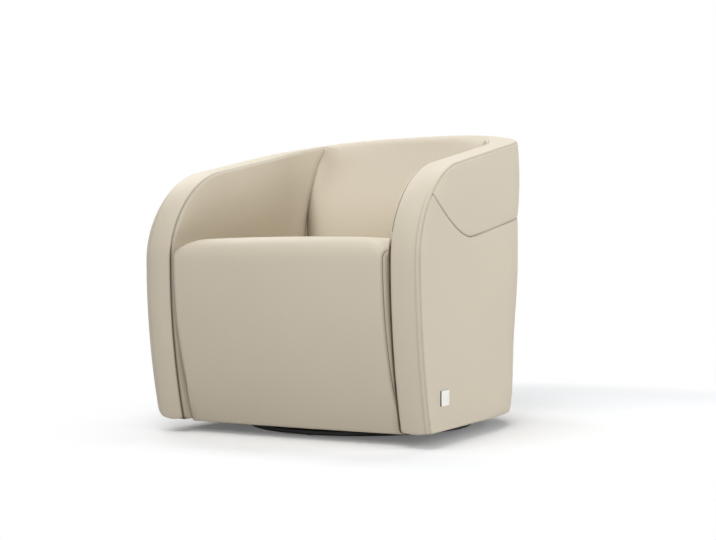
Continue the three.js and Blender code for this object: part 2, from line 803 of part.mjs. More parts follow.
function glide(index) {
  const [x, y] = onCircle(baseRadius - glideInset, glideCount, index, 1 / 2);
  const rim = [[glideRadius - glideEdge, 0], [glideRadius, glideEdge], [glideRadius, glideHeight]];
  return turned([[0, 0], ...rim, [0, glideHeight]], smallSides).translate(x, y, 0);
}

addPiece("round_base", roundBase(), blackPaint);
for (let index = 0; index < glideCount; index++) addPiece(`glide_${index + 1}`, glide(index), rubber);

// Swivel: two pressed plates with ball races, mirror images about the middle of the balls.
function racePlate(floor, mirror) {
  const middleGap = raceGap / 2;
  const face = floor + plateThickness;
  const raceTop = swivelMiddle - middleGap;
  const inner = raceRadius - raceWidth / 2;
  const outer = raceRadius + raceWidth / 2;
  const grooveRadius = ballRadius + ballPlay;
  const half = Math.acos(middleGap / grooveRadius);
  const groove = [];
  for (let step = 0; step <= grooveSteps; step++) {
    const angle = -half + (2 * half * step) / grooveSteps;
    groove.push([raceRadius + grooveRadius * Math.sin(angle), swivelMiddle - grooveRadius * Math.cos(angle)]);
  }
  const profile = [
    [pinRadius + clearance, floor],
    [plateRadius, floor],
    [plateRadius, face],
    [outer, face],
    [outer, raceTop],
    ...groove.reverse(),
    [inner, raceTop],
    [inner, face],
    [pinRadius + clearance, face],
    [pinRadius + clearance, floor],
  ];
  const flipped = profile.map(([radius, height]) => [radius, 2 * swivelMiddle - height]);
  return turned(mirror ? flipped : profile, raceSides);
}

function lowerPlate() {
  const radius = screwRadius + clearance;
  return geometryFrom(drilled(racePlate(baseTop, false), radius, screwPlaces, 0, everyHeight));
}

function upperPlate() {
  const radius = boltRadius + clearance;
  return geometryFrom(drilled(racePlate(baseTop, true), radius, boltPlaces, 0, everyHeight));
}

function ballCage() {
  const inner = raceRadius - cageWidth / 2;
  const outer = raceRadius + cageWidth / 2;
  const low = swivelMiddle - cageThickness / 2;
  const high = swivelMiddle + cageThickness / 2;
  const section = [[inner, low], [outer, low], [outer, high], [inner, high], [inner, low]];
  let cage = solidFrom(turned(section, raceSides));
  for (let index = 0; index < ballCount; index++) {
    const [x, y] = onCircle(raceRadius, ballCount, index);
    const ball = new THREE.SphereGeometry(ballRadius, ballSides, ballRings).rotateX(Math.PI / 2);
    cage = cage.add(solidFrom(ball.translate(x, y, swivelMiddle)));
  }
  return geometryFrom(cage);
}

// Bolts and screws: a bar and a head joined along their axis.
function headed(shank, head) {
  const bar = solidFrom(roundBar(shank.radius, shank.low, shank.high, smallSides));
  return bar.add(solidFrom(roundBar(head.radius, head.low, head.high, head.sides || smallSides)));
}

function centrePin() {
  const plateTop = boardBottom + washerThickness + 2 * clearance;
  const headTop = baseTop - clearance;
  const shank = { radius: pinRadius, low: headTop - clearance, high: plateTop + nutHeight + clearance };
  const head = { radius: pinHeadRadius, low: headTop - pinHeadHeight + clearance, high: headTop };
  return geometryFrom(headed(shank, head));
}

function ringPiece(inner, outer, low, high, outerSides) {
  const ring = solidFrom(roundBar(outer, low, high, outerSides));
  return geometryFrom(ring.subtract(solidFrom(roundBar(inner, low - overrun, high + overrun, smallSides))));
}

function swivelPieces() {
  addPiece("swivel_plate_lower", lowerPlate(), steel);
  addPiece("swivel_plate_upper", upperPlate(), steel);
  addPiece("ball_cage", ballCage(), steel);
  addPiece("centre_pin", centrePin(), steel);
  const washerLow = boardBottom + clearance;
  const nutLow = washerLow + washerThickness + clearance;
  const bore = pinRadius + clearance;
  const washerHigh = washerLow + washerThickness;
  addPiece("pin_washer", ringPiece(bore, washerRadius, washerLow, washerHigh, smallSides), steel);
  addPiece("pin_nut", ringPiece(bore, nutRadius, nutLow, nutLow + nutHeight, hexagon), steel);
  const plateTop = baseTop + plateThickness;
  screwPlaces.forEach(([x, y], index) => {
    const shank = { radius: screwRadius, low: baseTop - screwDepth, high: plateTop + clearance };
    const seat = plateTop + clearance;
    const head = { radius: screwHeadRadius, low: seat, high: seat + screwHeadHeight };
    addPiece(`base_screw_${index + 1}`, geometryFrom(headed(shank, head).translate([x, y, 0])), steel);
  });
  const upperFace = boardBottom - plateThickness;
  boltPlaces.forEach(([x, y], index) => {
    const headTop = upperFace - clearance;
    const boltEnd = boardBottom + boardThickness - clearance;
    const shank = { radius: boltRadius, low: headTop - clearance, high: boltEnd };
    const head = { radius: boltHeadRadius, low: headTop - boltHeadHeight, high: headTop, sides: hexagon };
    addPiece(`board_bolt_${index + 1}`, geometryFrom(headed(shank, head).translate([x, y, 0])), steel);
  });
}

swivelPieces();

function sideTag() {
  const outline = new THREE.Shape();
  const low = [-tagWidth / 2, -tagHeight / 2];
  const corners = roundedWindow(low, [tagWidth / 2, tagHeight / 2], tagThickness);
  outline.setFromPoints(corners.getPoints(cornerSteps));
  const tag = new THREE.ExtrudeGeometry(outline, { depth: tagThickness, bevelEnabled: false });
  tag.rotateX(Math.PI / 2).rotateZ(Math.PI / 2);
  return tag.translate(halfWidth + clearance, tagPlace.y, tagPlace.z);
}

addPiece("side_tag", sideTag(), plate);

export default chair;
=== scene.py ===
import json
import math

import bpy
import numpy as np
from bpy.props import FloatProperty, FloatVectorProperty, IntProperty, PointerProperty
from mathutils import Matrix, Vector


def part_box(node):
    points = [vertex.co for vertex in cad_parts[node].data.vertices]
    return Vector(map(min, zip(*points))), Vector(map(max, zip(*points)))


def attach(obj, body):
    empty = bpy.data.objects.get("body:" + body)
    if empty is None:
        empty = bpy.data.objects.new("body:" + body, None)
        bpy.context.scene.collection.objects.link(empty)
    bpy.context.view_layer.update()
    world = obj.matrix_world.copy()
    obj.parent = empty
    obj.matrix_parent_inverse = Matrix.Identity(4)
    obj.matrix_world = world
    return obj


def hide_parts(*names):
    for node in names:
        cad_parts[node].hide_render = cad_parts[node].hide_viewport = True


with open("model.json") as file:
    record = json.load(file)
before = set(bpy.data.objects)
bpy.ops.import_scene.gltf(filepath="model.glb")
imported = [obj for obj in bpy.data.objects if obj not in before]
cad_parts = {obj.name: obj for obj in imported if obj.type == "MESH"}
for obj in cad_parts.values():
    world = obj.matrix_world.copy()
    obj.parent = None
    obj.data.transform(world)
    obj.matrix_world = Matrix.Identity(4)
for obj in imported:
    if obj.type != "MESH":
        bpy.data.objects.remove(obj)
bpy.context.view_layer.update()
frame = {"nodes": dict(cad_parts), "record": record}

bl_info = {
    "name": "Swivel club chair looks",
    "version": (1, 0, 0),
    "blender": (4, 5, 0),
    "location": "3D View > Sidebar > Chair",
    "description": "Leather, seams, materials and studio for the swivel club chair",
    "category": "Object",
}


# Digits that the sidebar shows.
LENGTH_DIGITS = 4
PLACE_DIGITS = 3


def number(name, description, default, **more):
    """A number that a user can change in the sidebar."""
    return FloatProperty(name=name, description=description, default=default, **more)


def length(name, description, default):
    """A size in metres."""
    return number(name, description, default, unit="LENGTH", precision=LENGTH_DIGITS)


def amount(name, description, default):
    """A share, a strength or another plain number from 0 up."""
    return number(name, description, default, min=0)


def angle(name, description, default):
    """An angle in radians."""
    return number(name, description, default, subtype="ANGLE")


def position(name, description, default):
    """A place in metres."""
    return FloatVectorProperty(
        name=name, description=description, default=default, subtype="TRANSLATION", precision=PLACE_DIGITS
    )


def power(name, description, default):
    """A lamp's power in watts."""
    return number(name, description, default, unit="POWER", min=0)


def tint(name, description, default):
    """A colour. It may be brighter than white."""
    return FloatVectorProperty(
        name=name, description=description, default=default, subtype="COLOR", size=3, min=0
    )


# Places that the frame gives.
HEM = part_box("outer_wrap")[0][2]
SEAT_LOW, SEAT_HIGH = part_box("seat_cover")


class ShellSizes(bpy.types.PropertyGroup):
    """Sizes of the wrapped shell: walls, rim and seams."""

    half_width: length("Half width", "Half the chair's width", 0.350)
    wall: length("Wall thickness", "Thickness of arms and back", 0.074)
    front_face: length("Front face", "Where the arms' front faces stand", -0.397)
    corner_radius: length("Corner radius", "Outer radius of the rear corners in plan", 0.305)
    corner_start: length("Corner start", "Where the straight arms end", 0.092)
    back_radius: length("Back radius", "Outer radius of the back in plan", 0.620)
    hem: length("Hem height", "Height of the leather's lower edge", HEM - 0.003)
    draw_height: length("Draw-in height", "Height below which front and rear draw in", 0.400)
    draw_in: length("Draw-in", "How far the rear draws in at the hem", 0.064)
    front_draw_in: length("Front draw-in", "How far the arms' front draws in at the hem", 0.050)
    rim_height: length("Rim height", "Height of the rim above the chair's axis", 0.652)
    rim_slope: amount("Rim slope", "Rise of the rim per length to the rear", 0.21)
    nose_length: length("Nose length", "Length of the arm's rounded nose", 0.197)
    nose_drop: length("Nose drop", "How far the nose falls to the front face", 0.170)
    crown: length("Band crown", "How far the rim band bulges", 0.003)
    edge_round: length("Edge rounding", "Rounding beside the seams", 0.007)
    back_round: length("Back rounding", "Width of the rounding from the rim into the inside back", 0.034)
    back_fall: length("Back fall", "Height of that rounding", 0.060)
    corner_blend: length("Corner blend", "Length behind the crease over which the rounding grows", 0.06)
    seam_start: length("Side seam start", "Where the side seam leaves the rim seam", -0.333)
    seam_low: length("Side seam low height", "Height of the side seam's lowest point", 0.448)
    seam_low_place: length("Side seam low place", "Where the side seam is lowest", -0.130)
    seam_back: length("Side seam back height", "Height of the side seam at the back's centre", 0.535)
    seam_ease: amount("Side seam ease", "How gently the side seam starts to climb", 1.1)
    seam_depth: length("Seam depth", "How deep the leather dips at a seam", 0.0020)
    seam_width: length("Seam width", "Half the width of the dip at a seam", 0.0016)
    seam_shade: length("Seam shade", "Distance from a seam over which its dark line fades", 0.0013)
    seam_fade: amount("Seam fade", "Strength of the side seam round the back", 0.25)
    outer_seam: amount("Outer seam", "Strength of the outer rim seam's line", 0.3)
    # Beside the seat the inner seams' lines are painted shade in the gap between seat and arm.
    arm_seam_and_gap_strength: amount("Inner seam", "Strength of the arms' inner seams' lines", 1.5)
    far_seam: amount("Far seam", "Share of it that is left at the back end of the arm", 0.6)
    left_seam: amount("Left seam", "Share of it on the left arm above the seat", 0.5)
    right_seam: amount("Right seam", "Share of it on the right arm above the seat", 0.07)
    second_seam: amount("Second line", "Strength of the topstitch's line", 0.22)
    side_seam: amount("Side seam", "Strength of the side seam's line where it falls", 0.65)
    topstitch: length("Topstitch", "Distance of the second line from the arms' outer seams", 0.0085)
    topstitch_depth: length("Topstitch depth", "How deep the leather dips there", 0.0007)
    arm_hem_round: length("Hem rounding, arms", "Rounding of the hem at the arms", 0.004)
    left_hem_round: length("Hem rounding, left", "Height of the hem's rounding at the left corner", 0.024)
    left_hem_depth: length("Hem depth, left", "Width of the hem's rounding at the left corner", 0.016)
    rear_hem_round: length("Hem rounding, rear", "Height of the hem's rounding round the back", 0.065)
    rear_hem_depth: length("Hem depth, rear", "How far the hem's rounding draws in round the back", 0.006)
    waist_top: length("Waist top", "Height below which the outer leather draws in at the rear", 0.400)
    waist_foot: length("Waist foot", "Height below which it draws in no further", 0.180)
    waist_depth: length("Waist depth", "How far it draws in", 0.008)
    flange: length("Turned-under leather", "Leather turned under at the hem", 0.022)
    leather: length("Leather thickness", "Thickness of the leather skins", 0.0030)
    panel_puff: length("Upper panel puff", "How far the upper outer panel swells", 0.004)


class PadSizes(bpy.types.PropertyGroup):
    """Sizes of the pads: inside back, inner arms and seat."""

    seat_top: length("Seat height", "Height of the seat's crown", SEAT_HIGH[2])
    seat_nose: length("Seat front", "The seat's furthest point to the front", SEAT_LOW[1])
    seat_hem: length("Seat hem", "Height of the seat front's lower edge", HEM - 0.011)
    seat_draw_in: length("Seat draw-in", "How far the seat's front draws in at the hem", 0.087)
    seat_edge: length("Seat edge radius", "Rounding between the seat's top and front", 0.050)
    deck: length("Deck height", "Height of the seat's underside", 0.325)
    apron: length("Apron depth", "Thickness of the seat's front", 0.042)
    inner_edge: length("Inner edge radius", "Rounding inside between deck and apron", 0.011)
    shoulder_width: length("Shoulder width", "Width of the seat top's rounded sides", 0.080)
    shoulder_drop: length("Shoulder drop", "How far the seat top's sides fall", 0.040)
    front_width: length("Front edge width", "Width of the front's rounded sides", 0.021)
    front_drop: length("Front edge depth", "How far the front's sides fall back", 0.020)
    hem_width: length("Hem edge width", "Width and depth of the front's rounded sides at the hem", 0.004)
    hem_reach: length("Hem edge reach", "Height above the hem over which the sides' rounding grows", 0.125)
    rear_width: length("Rear edge width", "Width of the seat's rounded rear edge", 0.030)
    rear_drop: length("Rear edge drop", "How far the seat's rear edge falls", 0.020)
    seat_bow: length("Seat bow", "How far the seat swells across its width", 0.005)
    seat_seam_depth: length("Seat seam depth", "How deep the seat's side seam dips", 0.0022)
    seat_stitch: length("Seat stitches", "Distance of the stitches from the seat's side seam", 0.0035)
    seam_angle_top: angle("Side seam angle, top", "Place of the seam on the rounding", 1.3)
    seam_angle_front: angle("Side seam angle, front", "Place of the seam on the rounding", 0.6)
    seat_gap: length("Seat gap", "Gap between the seat and each arm", 0.0012)
    back_hollow: length("Back hollow", "How far the inside back bows to the rear at seat height", 0.038)
    below_seat: length("Below the seat", "How far the inside back goes on below the seat's top", 0.090)
    back_puff: length("Back puff", "How far the inside back swells", 0.012)
    arm_puff: length("Arm puff", "How far each inner arm swells", 0.014)
    crease_foot: length("Crease foot", "How far round the corner the crease starts, at the seat", 0.1115)
    crease_top: length("Crease top", "How far round the corner the crease ends, at the rim", 0.170)
    crease_back: length("Crease rounding, back", "Width of the inside back's rolled edge", 0.040)
    crease_arm: length("Crease rounding, arm", "Width of the inner arm's rolled edge", 0.026)
    crease_depth: length("Crease depth", "How far the pads roll into the crease at the seat", 0.034)
    # Painted shade in the crease between the inside back and each inner arm: its strength at the seat, and
    # how wide it is at the seat and at the rim.
    painted_fold_strength: amount("Crease line", "Strength of the crease's dark line at the seat", 1.1)
    painted_fold_width: length("Crease shade", "Width over which the crease's dark fades, at the seat", 0.018)
    painted_fold_top_width: length("Crease shade, top", "Width over which the crease's dark fades, at the rim", 0.006)
    # Painted shade on the seat's side behind its seam, where it meets the gap beside the arm.
    painted_strip_shade: amount("Strip", "Strength of the dark just behind the seat's side seam", 0.15)
    crease_shallow: length("Crease depth, top", "How far the pads roll into the crease at the rim", 0.010)


def mix(a, b, share):
    """A value between two others."""
    return a + (b - a) * share


def clamp(value, low=0.0, high=1.0):
    return max(low, min(high, value))


def smooth(share):
    """Eases from 0 to 1."""
    share = clamp(share)
    return share * share * (3 - 2 * share)


def rounded(distance, width, depth=None):
    """How deep a round or elliptic edge lies inside its corner, at a distance along the face."""
    missing = 1 - clamp(distance / width)
    return (width if depth is None else depth) * (1 - math.sqrt(max(0.0, 1 - missing * missing)))


EIGHTH_TURN = math.pi / 4
QUARTER_TURN = math.pi / 2
# Sine and cosine of an eighth of a turn.
DIAGONAL = math.sqrt(0.5)


class Shell:
    """Where the wall, its rim and its seams run. A run is a length along the wall's middle line in plan."""

    # Steps of the rim's line, and the shares of them on the arm's front and on its nose.
    RIM_STEPS = 900
    FRONT_SHARE = 0.25
    NOSE_SHARE = 0.25
    # Share of the arm's length where the rear's hem begins, and over which it grows.
    HEM_START = 0.75
    HEM_EASE = 0.4
    # How fast the side seam's dark line fades behind its lowest point.
    FADE_RATE = 8.0
    # Where the second line ends, as a multiple of the side seam's start.
    JUNCTION_END = 1.5
    # Width of a seam's broad dip as a multiple of its narrow one.
    BROAD_DIP = 4

    def __init__(self, sizes):
        self.sizes = s = sizes
        # The wall's middle line in plan: a straight arm, a round corner and the wider round of the back.
        self.middle = s.wall / 2
        self.line = s.half_width - self.middle
        self.corner = s.corner_radius - self.middle
        self.back = s.back_radius - self.middle
        self.corner_x = self.line - self.corner
        self.turn = math.asin(self.corner_x / (self.back - self.corner))
        self.back_y = s.corner_start - math.cos(self.turn) * (self.back - self.corner)
        self.rear = self.back_y + s.back_radius
        # Length of the arm, of the corner and of the whole line from the arm's front to the back's centre.
        self.arm = s.corner_start - s.front_face
        self.bend = (QUARTER_TURN - self.turn) * self.corner
        self.half = self.arm + self.bend + self.turn * self.back
        # How far a rim seam lies inside the wall's corner, and where the side seam leaves it.
        self.inset = s.edge_round * (1 - DIAGONAL) + s.seam_depth * DIAGONAL
        self.seam_run = s.seam_start - s.front_face
        slope = (self.rim_z(self.seam_run + s.crown) - self.rim_z(self.seam_run - s.crown)) / (2 * s.crown)
        self.seam_front = self.rim_z(self.seam_run) - self.inset * math.hypot(1, slope)
        self.rim_points = np.array([self.rim_place(step) for step in range(self.RIM_STEPS + 1)])

    def near(self, run):
        """Length along the wall from the nearer arm's front."""
        return min(run, 2 * self.half - run)

    def crown(self, across):
        """How far the rim band bulges at a distance from the wall's middle."""
        return self.sizes.crown * (1 - (across / self.middle) ** 2) ** 2

    def lean(self, z, most):
        """How far a face draws in at a height, and the most that it does so at the hem."""
        s = self.sizes
        return most * max(0.0, (s.draw_height - z) / (s.draw_height - s.hem)) ** 2

    def front_run(self, z):
        """Run of the arm's front edge at a height, with the hem's rounding."""
        s = self.sizes
        return self.lean(z, s.front_draw_in) + rounded(z - s.hem, s.arm_hem_round)

    def hem_inset(self, run, z):
        """How far the wall's face is drawn in by the rounded hem."""
        s = self.sizes
        left = run > self.half
        run = self.near(run)
        share = smooth((run / self.arm - self.HEM_START) / self.HEM_EASE)
        high, deep = self.corner_hem(left)
        waist = s.waist_depth * smooth((s.waist_top - z) / (s.waist_top - s.waist_foot)) * share
        high = mix(high, s.rear_hem_round, share)
        deep = mix(deep, s.rear_hem_depth, share)
        return waist + rounded(z - s.hem, high, deep)

    def corner_hem(self, left):
        """Height and depth of the hem's rounding at an arm's outer corner."""
        s = self.sizes
        return (s.left_hem_round, s.left_hem_depth) if left else (s.arm_hem_round, s.arm_hem_round)

    def corner_inset(self, distance):
        """How far a face lies inside its corner with the rim, at a distance from that corner."""
        s = self.sizes
        dip = self.inset - rounded(self.inset, s.edge_round)
        return rounded(distance, s.edge_round) + dip * math.exp(-(distance - self.inset) / s.seam_width)

    def shade(self, distance):
        """A seam's dark line at a distance from it."""
        return math.exp(-abs(distance) / self.sizes.seam_shade)

    def side_shade(self, run, z):
        """The side seam's dark line, which is strong where the seam falls and faint round the back."""
        s = self.sizes
        near = self.near(run)
        if near < self.seam_run:
            return 0.0
        low = s.seam_low_place - s.front_face
        fade = mix(s.side_seam, s.seam_fade, smooth((near - low) / (self.half - low) * self.FADE_RATE))
        return fade * self.shade(z - self.seam_z(run))

    def below_junction(self, run):
        """1 on the arm's front below the place where the side seam starts, 0 well behind it."""
        near = self.near(run)
        return smooth(self.JUNCTION_END - near / self.seam_run)

    def seam_dip(self, run, z):
        """How far the outer leather dips beside the side seam."""
        s = self.sizes
        distance = abs(z - self.seam_z(run))
        return s.seam_depth * (
            math.exp(-distance / s.seam_width) + math.exp(-distance / (self.BROAD_DIP * s.seam_width))
        )

    def plan(self, run):
        """Place and outward direction of the wall's middle line at a run from the right arm's front."""
        s = self.sizes
        mirrored = run > self.half
        r = 2 * self.half - run if mirrored else run
        if r < self.arm:
            x, y, nx, ny = self.line, s.front_face + r, 1.0, 0.0
        elif r < self.arm + self.bend:
            turned = (r - self.arm) / self.corner
            nx, ny = math.cos(turned), math.sin(turned)
            x, y = self.corner_x + self.corner * nx, s.corner_start + self.corner * ny
        else:
            turned = QUARTER_TURN - self.turn + (r - self.arm - self.bend) / self.back
            nx, ny = math.cos(turned), math.sin(turned)
            x, y = self.back * nx, self.back_y + self.back * ny
        return (-x, y, -nx, ny) if mirrored else (x, y, nx, ny)

    def wall_point(self, run, out, z):
        """A point beside the wall's middle line, at a distance out from it and at a height."""
        s = self.sizes
        x, y, nx, ny = self.plan(run)
        x, y = x + nx * out, y + ny * out
        if y > s.corner_start:
            kept = 1 - self.lean(z, s.draw_in) / (self.rear - s.corner_start)
            y = s.corner_start + (y - s.corner_start) * kept
        return np.array((x, y, z))

    def rim_z(self, run):
        """Height of the rim: a slope that falls over the rounded nose."""
        s = self.sizes
        y = self.plan(run)[1]
        share = clamp((s.front_face + s.nose_length - y) / s.nose_length)
        return s.rim_height + s.rim_slope * y - s.nose_drop * (1 - math.sqrt(max(0.0, 1 - share * share)))

    def rim_place(self, step):
        """Run and height on the rim's line: up the arm's front, over the nose, on to the back's centre."""
        s = self.sizes
        share = step / self.RIM_STEPS
        if share < self.FRONT_SHARE:
            z = mix(s.hem, self.rim_z(0), share / self.FRONT_SHARE)
            return self.front_run(z), z
        share -= self.FRONT_SHARE
        if share < self.NOSE_SHARE:
            run = s.nose_length * (1 - math.cos(QUARTER_TURN * share / self.NOSE_SHARE))
        else:
            share = (share - self.NOSE_SHARE) / (1 - self.FRONT_SHARE - self.NOSE_SHARE)
            run = mix(s.nose_length, self.half, share)
        return run, self.rim_z(run)

    def rim_depth(self, run, z):
        """Distance from a point of the wall to the rim's line, for the half that the run is on."""
        run = self.near(run)
        lines = self.rim_points - np.array((run, z))
        return float(np.sqrt((lines**2).sum(axis=1).min()))

    def seam_z(self, run):
        """Height of the side seam."""
        s = self.sizes
        run = self.near(run)
        low = s.seam_low_place - s.front_face
        if run < low:
            share = clamp((run - self.seam_run) / (low - self.seam_run))
            return s.seam_low + (self.seam_front - s.seam_low) * (1 - share) ** 2 * (1 + share / 2)
        share = (run - low) / (self.half - low)
        return s.seam_low + (s.seam_back - s.seam_low) * math.sin(QUARTER_TURN * share) ** s.seam_ease

    def above_seat(self, z, pads):
        """Eased share of the way from the seat up to the rim."""
        return smooth((z - pads.seat_top) / (self.sizes.rim_height - pads.seat_top))

    def crease_roll(self, z, pads):
        """How deep the crease is at a height."""
        return mix(pads.crease_depth, pads.crease_shallow, self.above_seat(z, pads))

    def painted_fold_shade(self, distance, z, pads):
        """Painted shade in the crease at a distance from it: it weakens towards the rim."""
        share = self.above_seat(z, pads)
        wide = mix(pads.painted_fold_width, pads.painted_fold_top_width, share)
        return pads.painted_fold_strength * (1 - share**2) * math.exp(-distance / wide)

    def arm_seam_and_gap_shade(self, distance, run, z, pads):
        """The dark line of an arm's inner seam at a distance from it; beside the seat it is painted shade in
        the gap between seat and arm.
        """
        s = self.sizes
        near = self.near(run)
        strength = s.arm_seam_and_gap_strength * mix(1.0, s.far_seam, smooth(near / self.arm))
        above = s.left_seam if run > self.half else s.right_seam
        beside_seat = smooth((z - pads.seat_top + pads.shoulder_drop) / self.middle)
        return strength * mix(1.0, above, beside_seat) * self.shade(distance)

    def crease_run(self, z, pads):
        """Run of the right crease at a height."""
        high = self.rim_z(self.arm + pads.crease_top)
        share = clamp((z - pads.seat_top) / (high - pads.seat_top)) ** 2
        return self.arm + mix(pads.crease_foot, pads.crease_top, share)


def new_piece(name, points, edges, faces):
    mesh = bpy.data.meshes.new(name)
    mesh.from_pydata([tuple(float(v) for v in p) for p in points], edges, faces)
    mesh.update()
    piece = bpy.data.objects.new(name, mesh)
    bpy.context.scene.collection.objects.link(piece)
    return piece


def shade_smooth(mesh):
    mesh.polygons.foreach_set("use_smooth", [True] * len(mesh.polygons))


def mesh_piece(name, points, faces, material, seams=None):
    """A mesh object. The seams are each point's share of darkening: a seam's dark line, and painted shade in
    the creases and in the gaps beside the seat.
    """
    piece = new_piece(name, points, [], faces)
    mesh = piece.data
    if seams is not None:
        # The seam attribute also carries painted shade in the creases and in the gaps beside the seat.
        attribute = mesh.attributes.new("seam", "FLOAT", "POINT")
        attribute.data.foreach_set("value", [float(v) for v in seams])
    mesh.materials.append(material)
    shade_smooth(mesh)
    return piece


def grid_faces(rows, columns, start=0, flip=False):
    """Quads of a grid whose points are stored row by row."""
    faces = []
    for row in range(rows - 1):
        for column in range(columns - 1):
            a = start + row * columns + column
            quad = (a, a + 1, a + columns + 1, a + columns)
            faces.append(quad[::-1] if flip else quad)
    return faces


def grid_piece(name, rows, material, seams, flip=True):
    """A piece whose points are a grid."""
    points = [point for row in rows for point in row]
    return mesh_piece(name, points, grid_faces(len(rows), len(rows[0]), flip=flip), material, seams)


# Distances from a seam, from the hem and from a crease at which the leather's mesh has a line.
SEAM_STEPS = (
    0.0, 0.0007, 0.0015, 0.0025, 0.004, 0.0058, 0.0072, 0.0085, 0.0098, 0.012, 0.0155, 0.019, 0.028
)
HEM_STEPS = (0.0, 0.001, 0.003, 0.006, 0.010, 0.015, 0.021, 0.028, 0.036, 0.046)
CREASE_STEPS = (0.0, 0.0008, 0.002, 0.004, 0.0065, 0.009, 0.0125, 0.0165, 0.021, 0.027, 0.035)
# Counts of lines and columns of the leather's mesh between them.
FRONT_ROWS = 40
NOSE_COLUMNS = 44
ARM_COLUMNS = 40
BACK_COLUMNS = 90
WALL_ROWS = 46
PAD_ROWS = 44
PANEL_ROWS = 16
TURN_ROWS = 7
FLAT_STEPS = 3
# Rounds in which the crease and the rim are brought together.
CREASE_TRIES = 6
# Distance from a seam within which its lines also shape the band's edge.
BAND_REACH = 0.02


def spaced(total, first, last, count):
    """Places from 0 to total: the first and last distances from its ends, and even steps between."""
    scale = min(1.0, total / (2 * (first[-1] + last[-1])))
    low = [d * scale for d in first]
    high = [total - d * scale for d in reversed(last)]
    middle = [mix(low[-1], high[0], step / (count + 1)) for step in range(1, count + 1)]
    return low + middle + high


class Rim:
    """Stations along the rim band, from the right arm's hem over the back to the left arm's hem."""

    def __init__(self, shell, pads):
        self.shell = shell
        self.pads = pads
        s = shell.sizes
        rows = spaced(shell.rim_z(0) - s.hem, HEM_STEPS, (0.0,), FRONT_ROWS)
        self.front = [(shell.front_run(s.hem + d), s.hem + d) for d in rows]
        turns = [QUARTER_TURN * step / NOSE_COLUMNS for step in range(1, NOSE_COLUMNS + 1)]
        nose = [s.nose_length * (1 - math.cos(turned)) for turned in turns]
        self.crease = shell.crease_run(self.crease_top(), pads)
        arms = [mix(s.nose_length, self.crease, step / ARM_COLUMNS) for step in range(1, ARM_COLUMNS + 1)]
        wide = 2 * (shell.half - self.crease)
        self.across = [d / wide for d in spaced(wide, CREASE_STEPS, CREASE_STEPS, BACK_COLUMNS)]
        back = [self.crease + wide * share for share in self.across[1:]]
        self.rising = nose + arms
        half = self.front + [(run, shell.rim_z(run)) for run in self.rising + back]
        self.first_back = len(self.front) + len(self.rising) - 1
        mirrored = [(2 * shell.half - run, z) for run, z in reversed(half[: self.first_back])]
        self.stations = half + mirrored
        self.frames = [self.frame(step) for step in range(len(self.stations))]

    def crease_top(self):
        """Height at which the crease meets the rim."""
        z = self.shell.sizes.rim_height
        for _ in range(CREASE_TRIES):
            z = self.shell.rim_z(self.shell.crease_run(z, self.pads))
        return z

    def place(self, step):
        """A station's point on the wall's middle line."""
        run, z = self.stations[step]
        return self.shell.wall_point(run, 0, z)

    def frame(self, step):
        """Point, outward direction, direction away from the wall's edge, and share of the back."""
        run, z = self.stations[step]
        shell, s = self.shell, self.shell.sizes
        nx, ny = shell.plan(run)[2:]
        out = np.array((nx, ny, 0.0))
        before = self.place(max(0, step - 1))
        after = self.place(min(len(self.stations) - 1, step + 1))
        away = np.cross(out, after - before)
        away /= np.linalg.norm(away)
        near = shell.near(run)
        upright = smooth((near - s.nose_length) / (shell.arm - s.nose_length))
        away = away * (1 - upright) + np.array((0, 0, 1.0)) * upright
        away /= np.linalg.norm(away)
        back = smooth((near - self.crease) / s.corner_blend)
        return self.place(step), out, away, back

    def back(self, step):
        """How much a station belongs to the back."""
        return self.frames[step][-1]

    def at(self, step, out, away):
        """A point at a distance outward, and away from the wall's edge, from a station."""
        point, outward, upward, _ = self.frames[step]
        return point + outward * out + upward * away


def section(shell, back):
    """The band's section as (distance out from the wall's middle, height over the rim), outer seam first."""
    s = shell.sizes
    wide = [shell.inset + d for d in SEAM_STEPS if d < BAND_REACH]
    rows = [(t, shell.corner_inset(t)) for t in wide]
    flat = [mix(wide[-1], shell.middle, step / FLAT_STEPS) for step in range(1, FLAT_STEPS + 1)]
    rows += [(t, 0.0) for t in flat]
    inner = []
    for step, t in enumerate(reversed(flat[:-1]), 1):
        inner.append((mix(t, mix(shell.middle, s.back_round, step / FLAT_STEPS), back), 0.0))
    count = len(wide)
    for index, t in enumerate(reversed(wide)):
        turned = EIGHTH_TURN * index / (count - 1)
        round_t = s.back_round * (1 - math.sin(turned))
        drop = s.back_fall * (1 - math.cos(turned))
        inner.append((mix(t, round_t, back), mix(shell.corner_inset(t), drop, back)))
    result = [(shell.middle - t, drop) for t, drop in rows]
    result += [(t - shell.middle, drop) for t, drop in inner]
    return [(across, shell.crown(across) - drop) for across, drop in result]


def band_point(shell, pads, rim, step, across, away):
    """A point of the band at a station and a place of its section, and its darkening: the seams' lines, with
    painted shade beside the seat.
    """
    s = shell.sizes
    run, z = rim.stations[step]
    edge = shell.middle - shell.inset
    line = edge - abs(across)
    if across > 0:
        second = shell.shade(line - s.topstitch) * shell.below_junction(run)
        seam = max(s.outer_seam * shell.shade(line), s.second_seam * second)
        away -= second * s.topstitch_depth
    else:
        seam = shell.arm_seam_and_gap_shade(line, run, z, pads) * (1 - rim.back(step))
    if z < shell.rim_z(0):
        low = rounded(z - s.hem, *shell.corner_hem(run > shell.half and across > 0))
        across -= math.copysign(low * clamp(abs(across) / edge), across)
    return rim.at(step, across, away), seam


def hanging_faces(top, start, rows):
    """Quads of rows of points that hang from a line. Their numbers begin at the start, row by row."""
    faces = []
    for row in range(rows):
        here = [start + row * len(top) + column for column in range(len(top))]
        faces += [(top[i], top[i + 1], here[i + 1], here[i]) for i in range(len(top) - 1)]
        top = here
    return faces


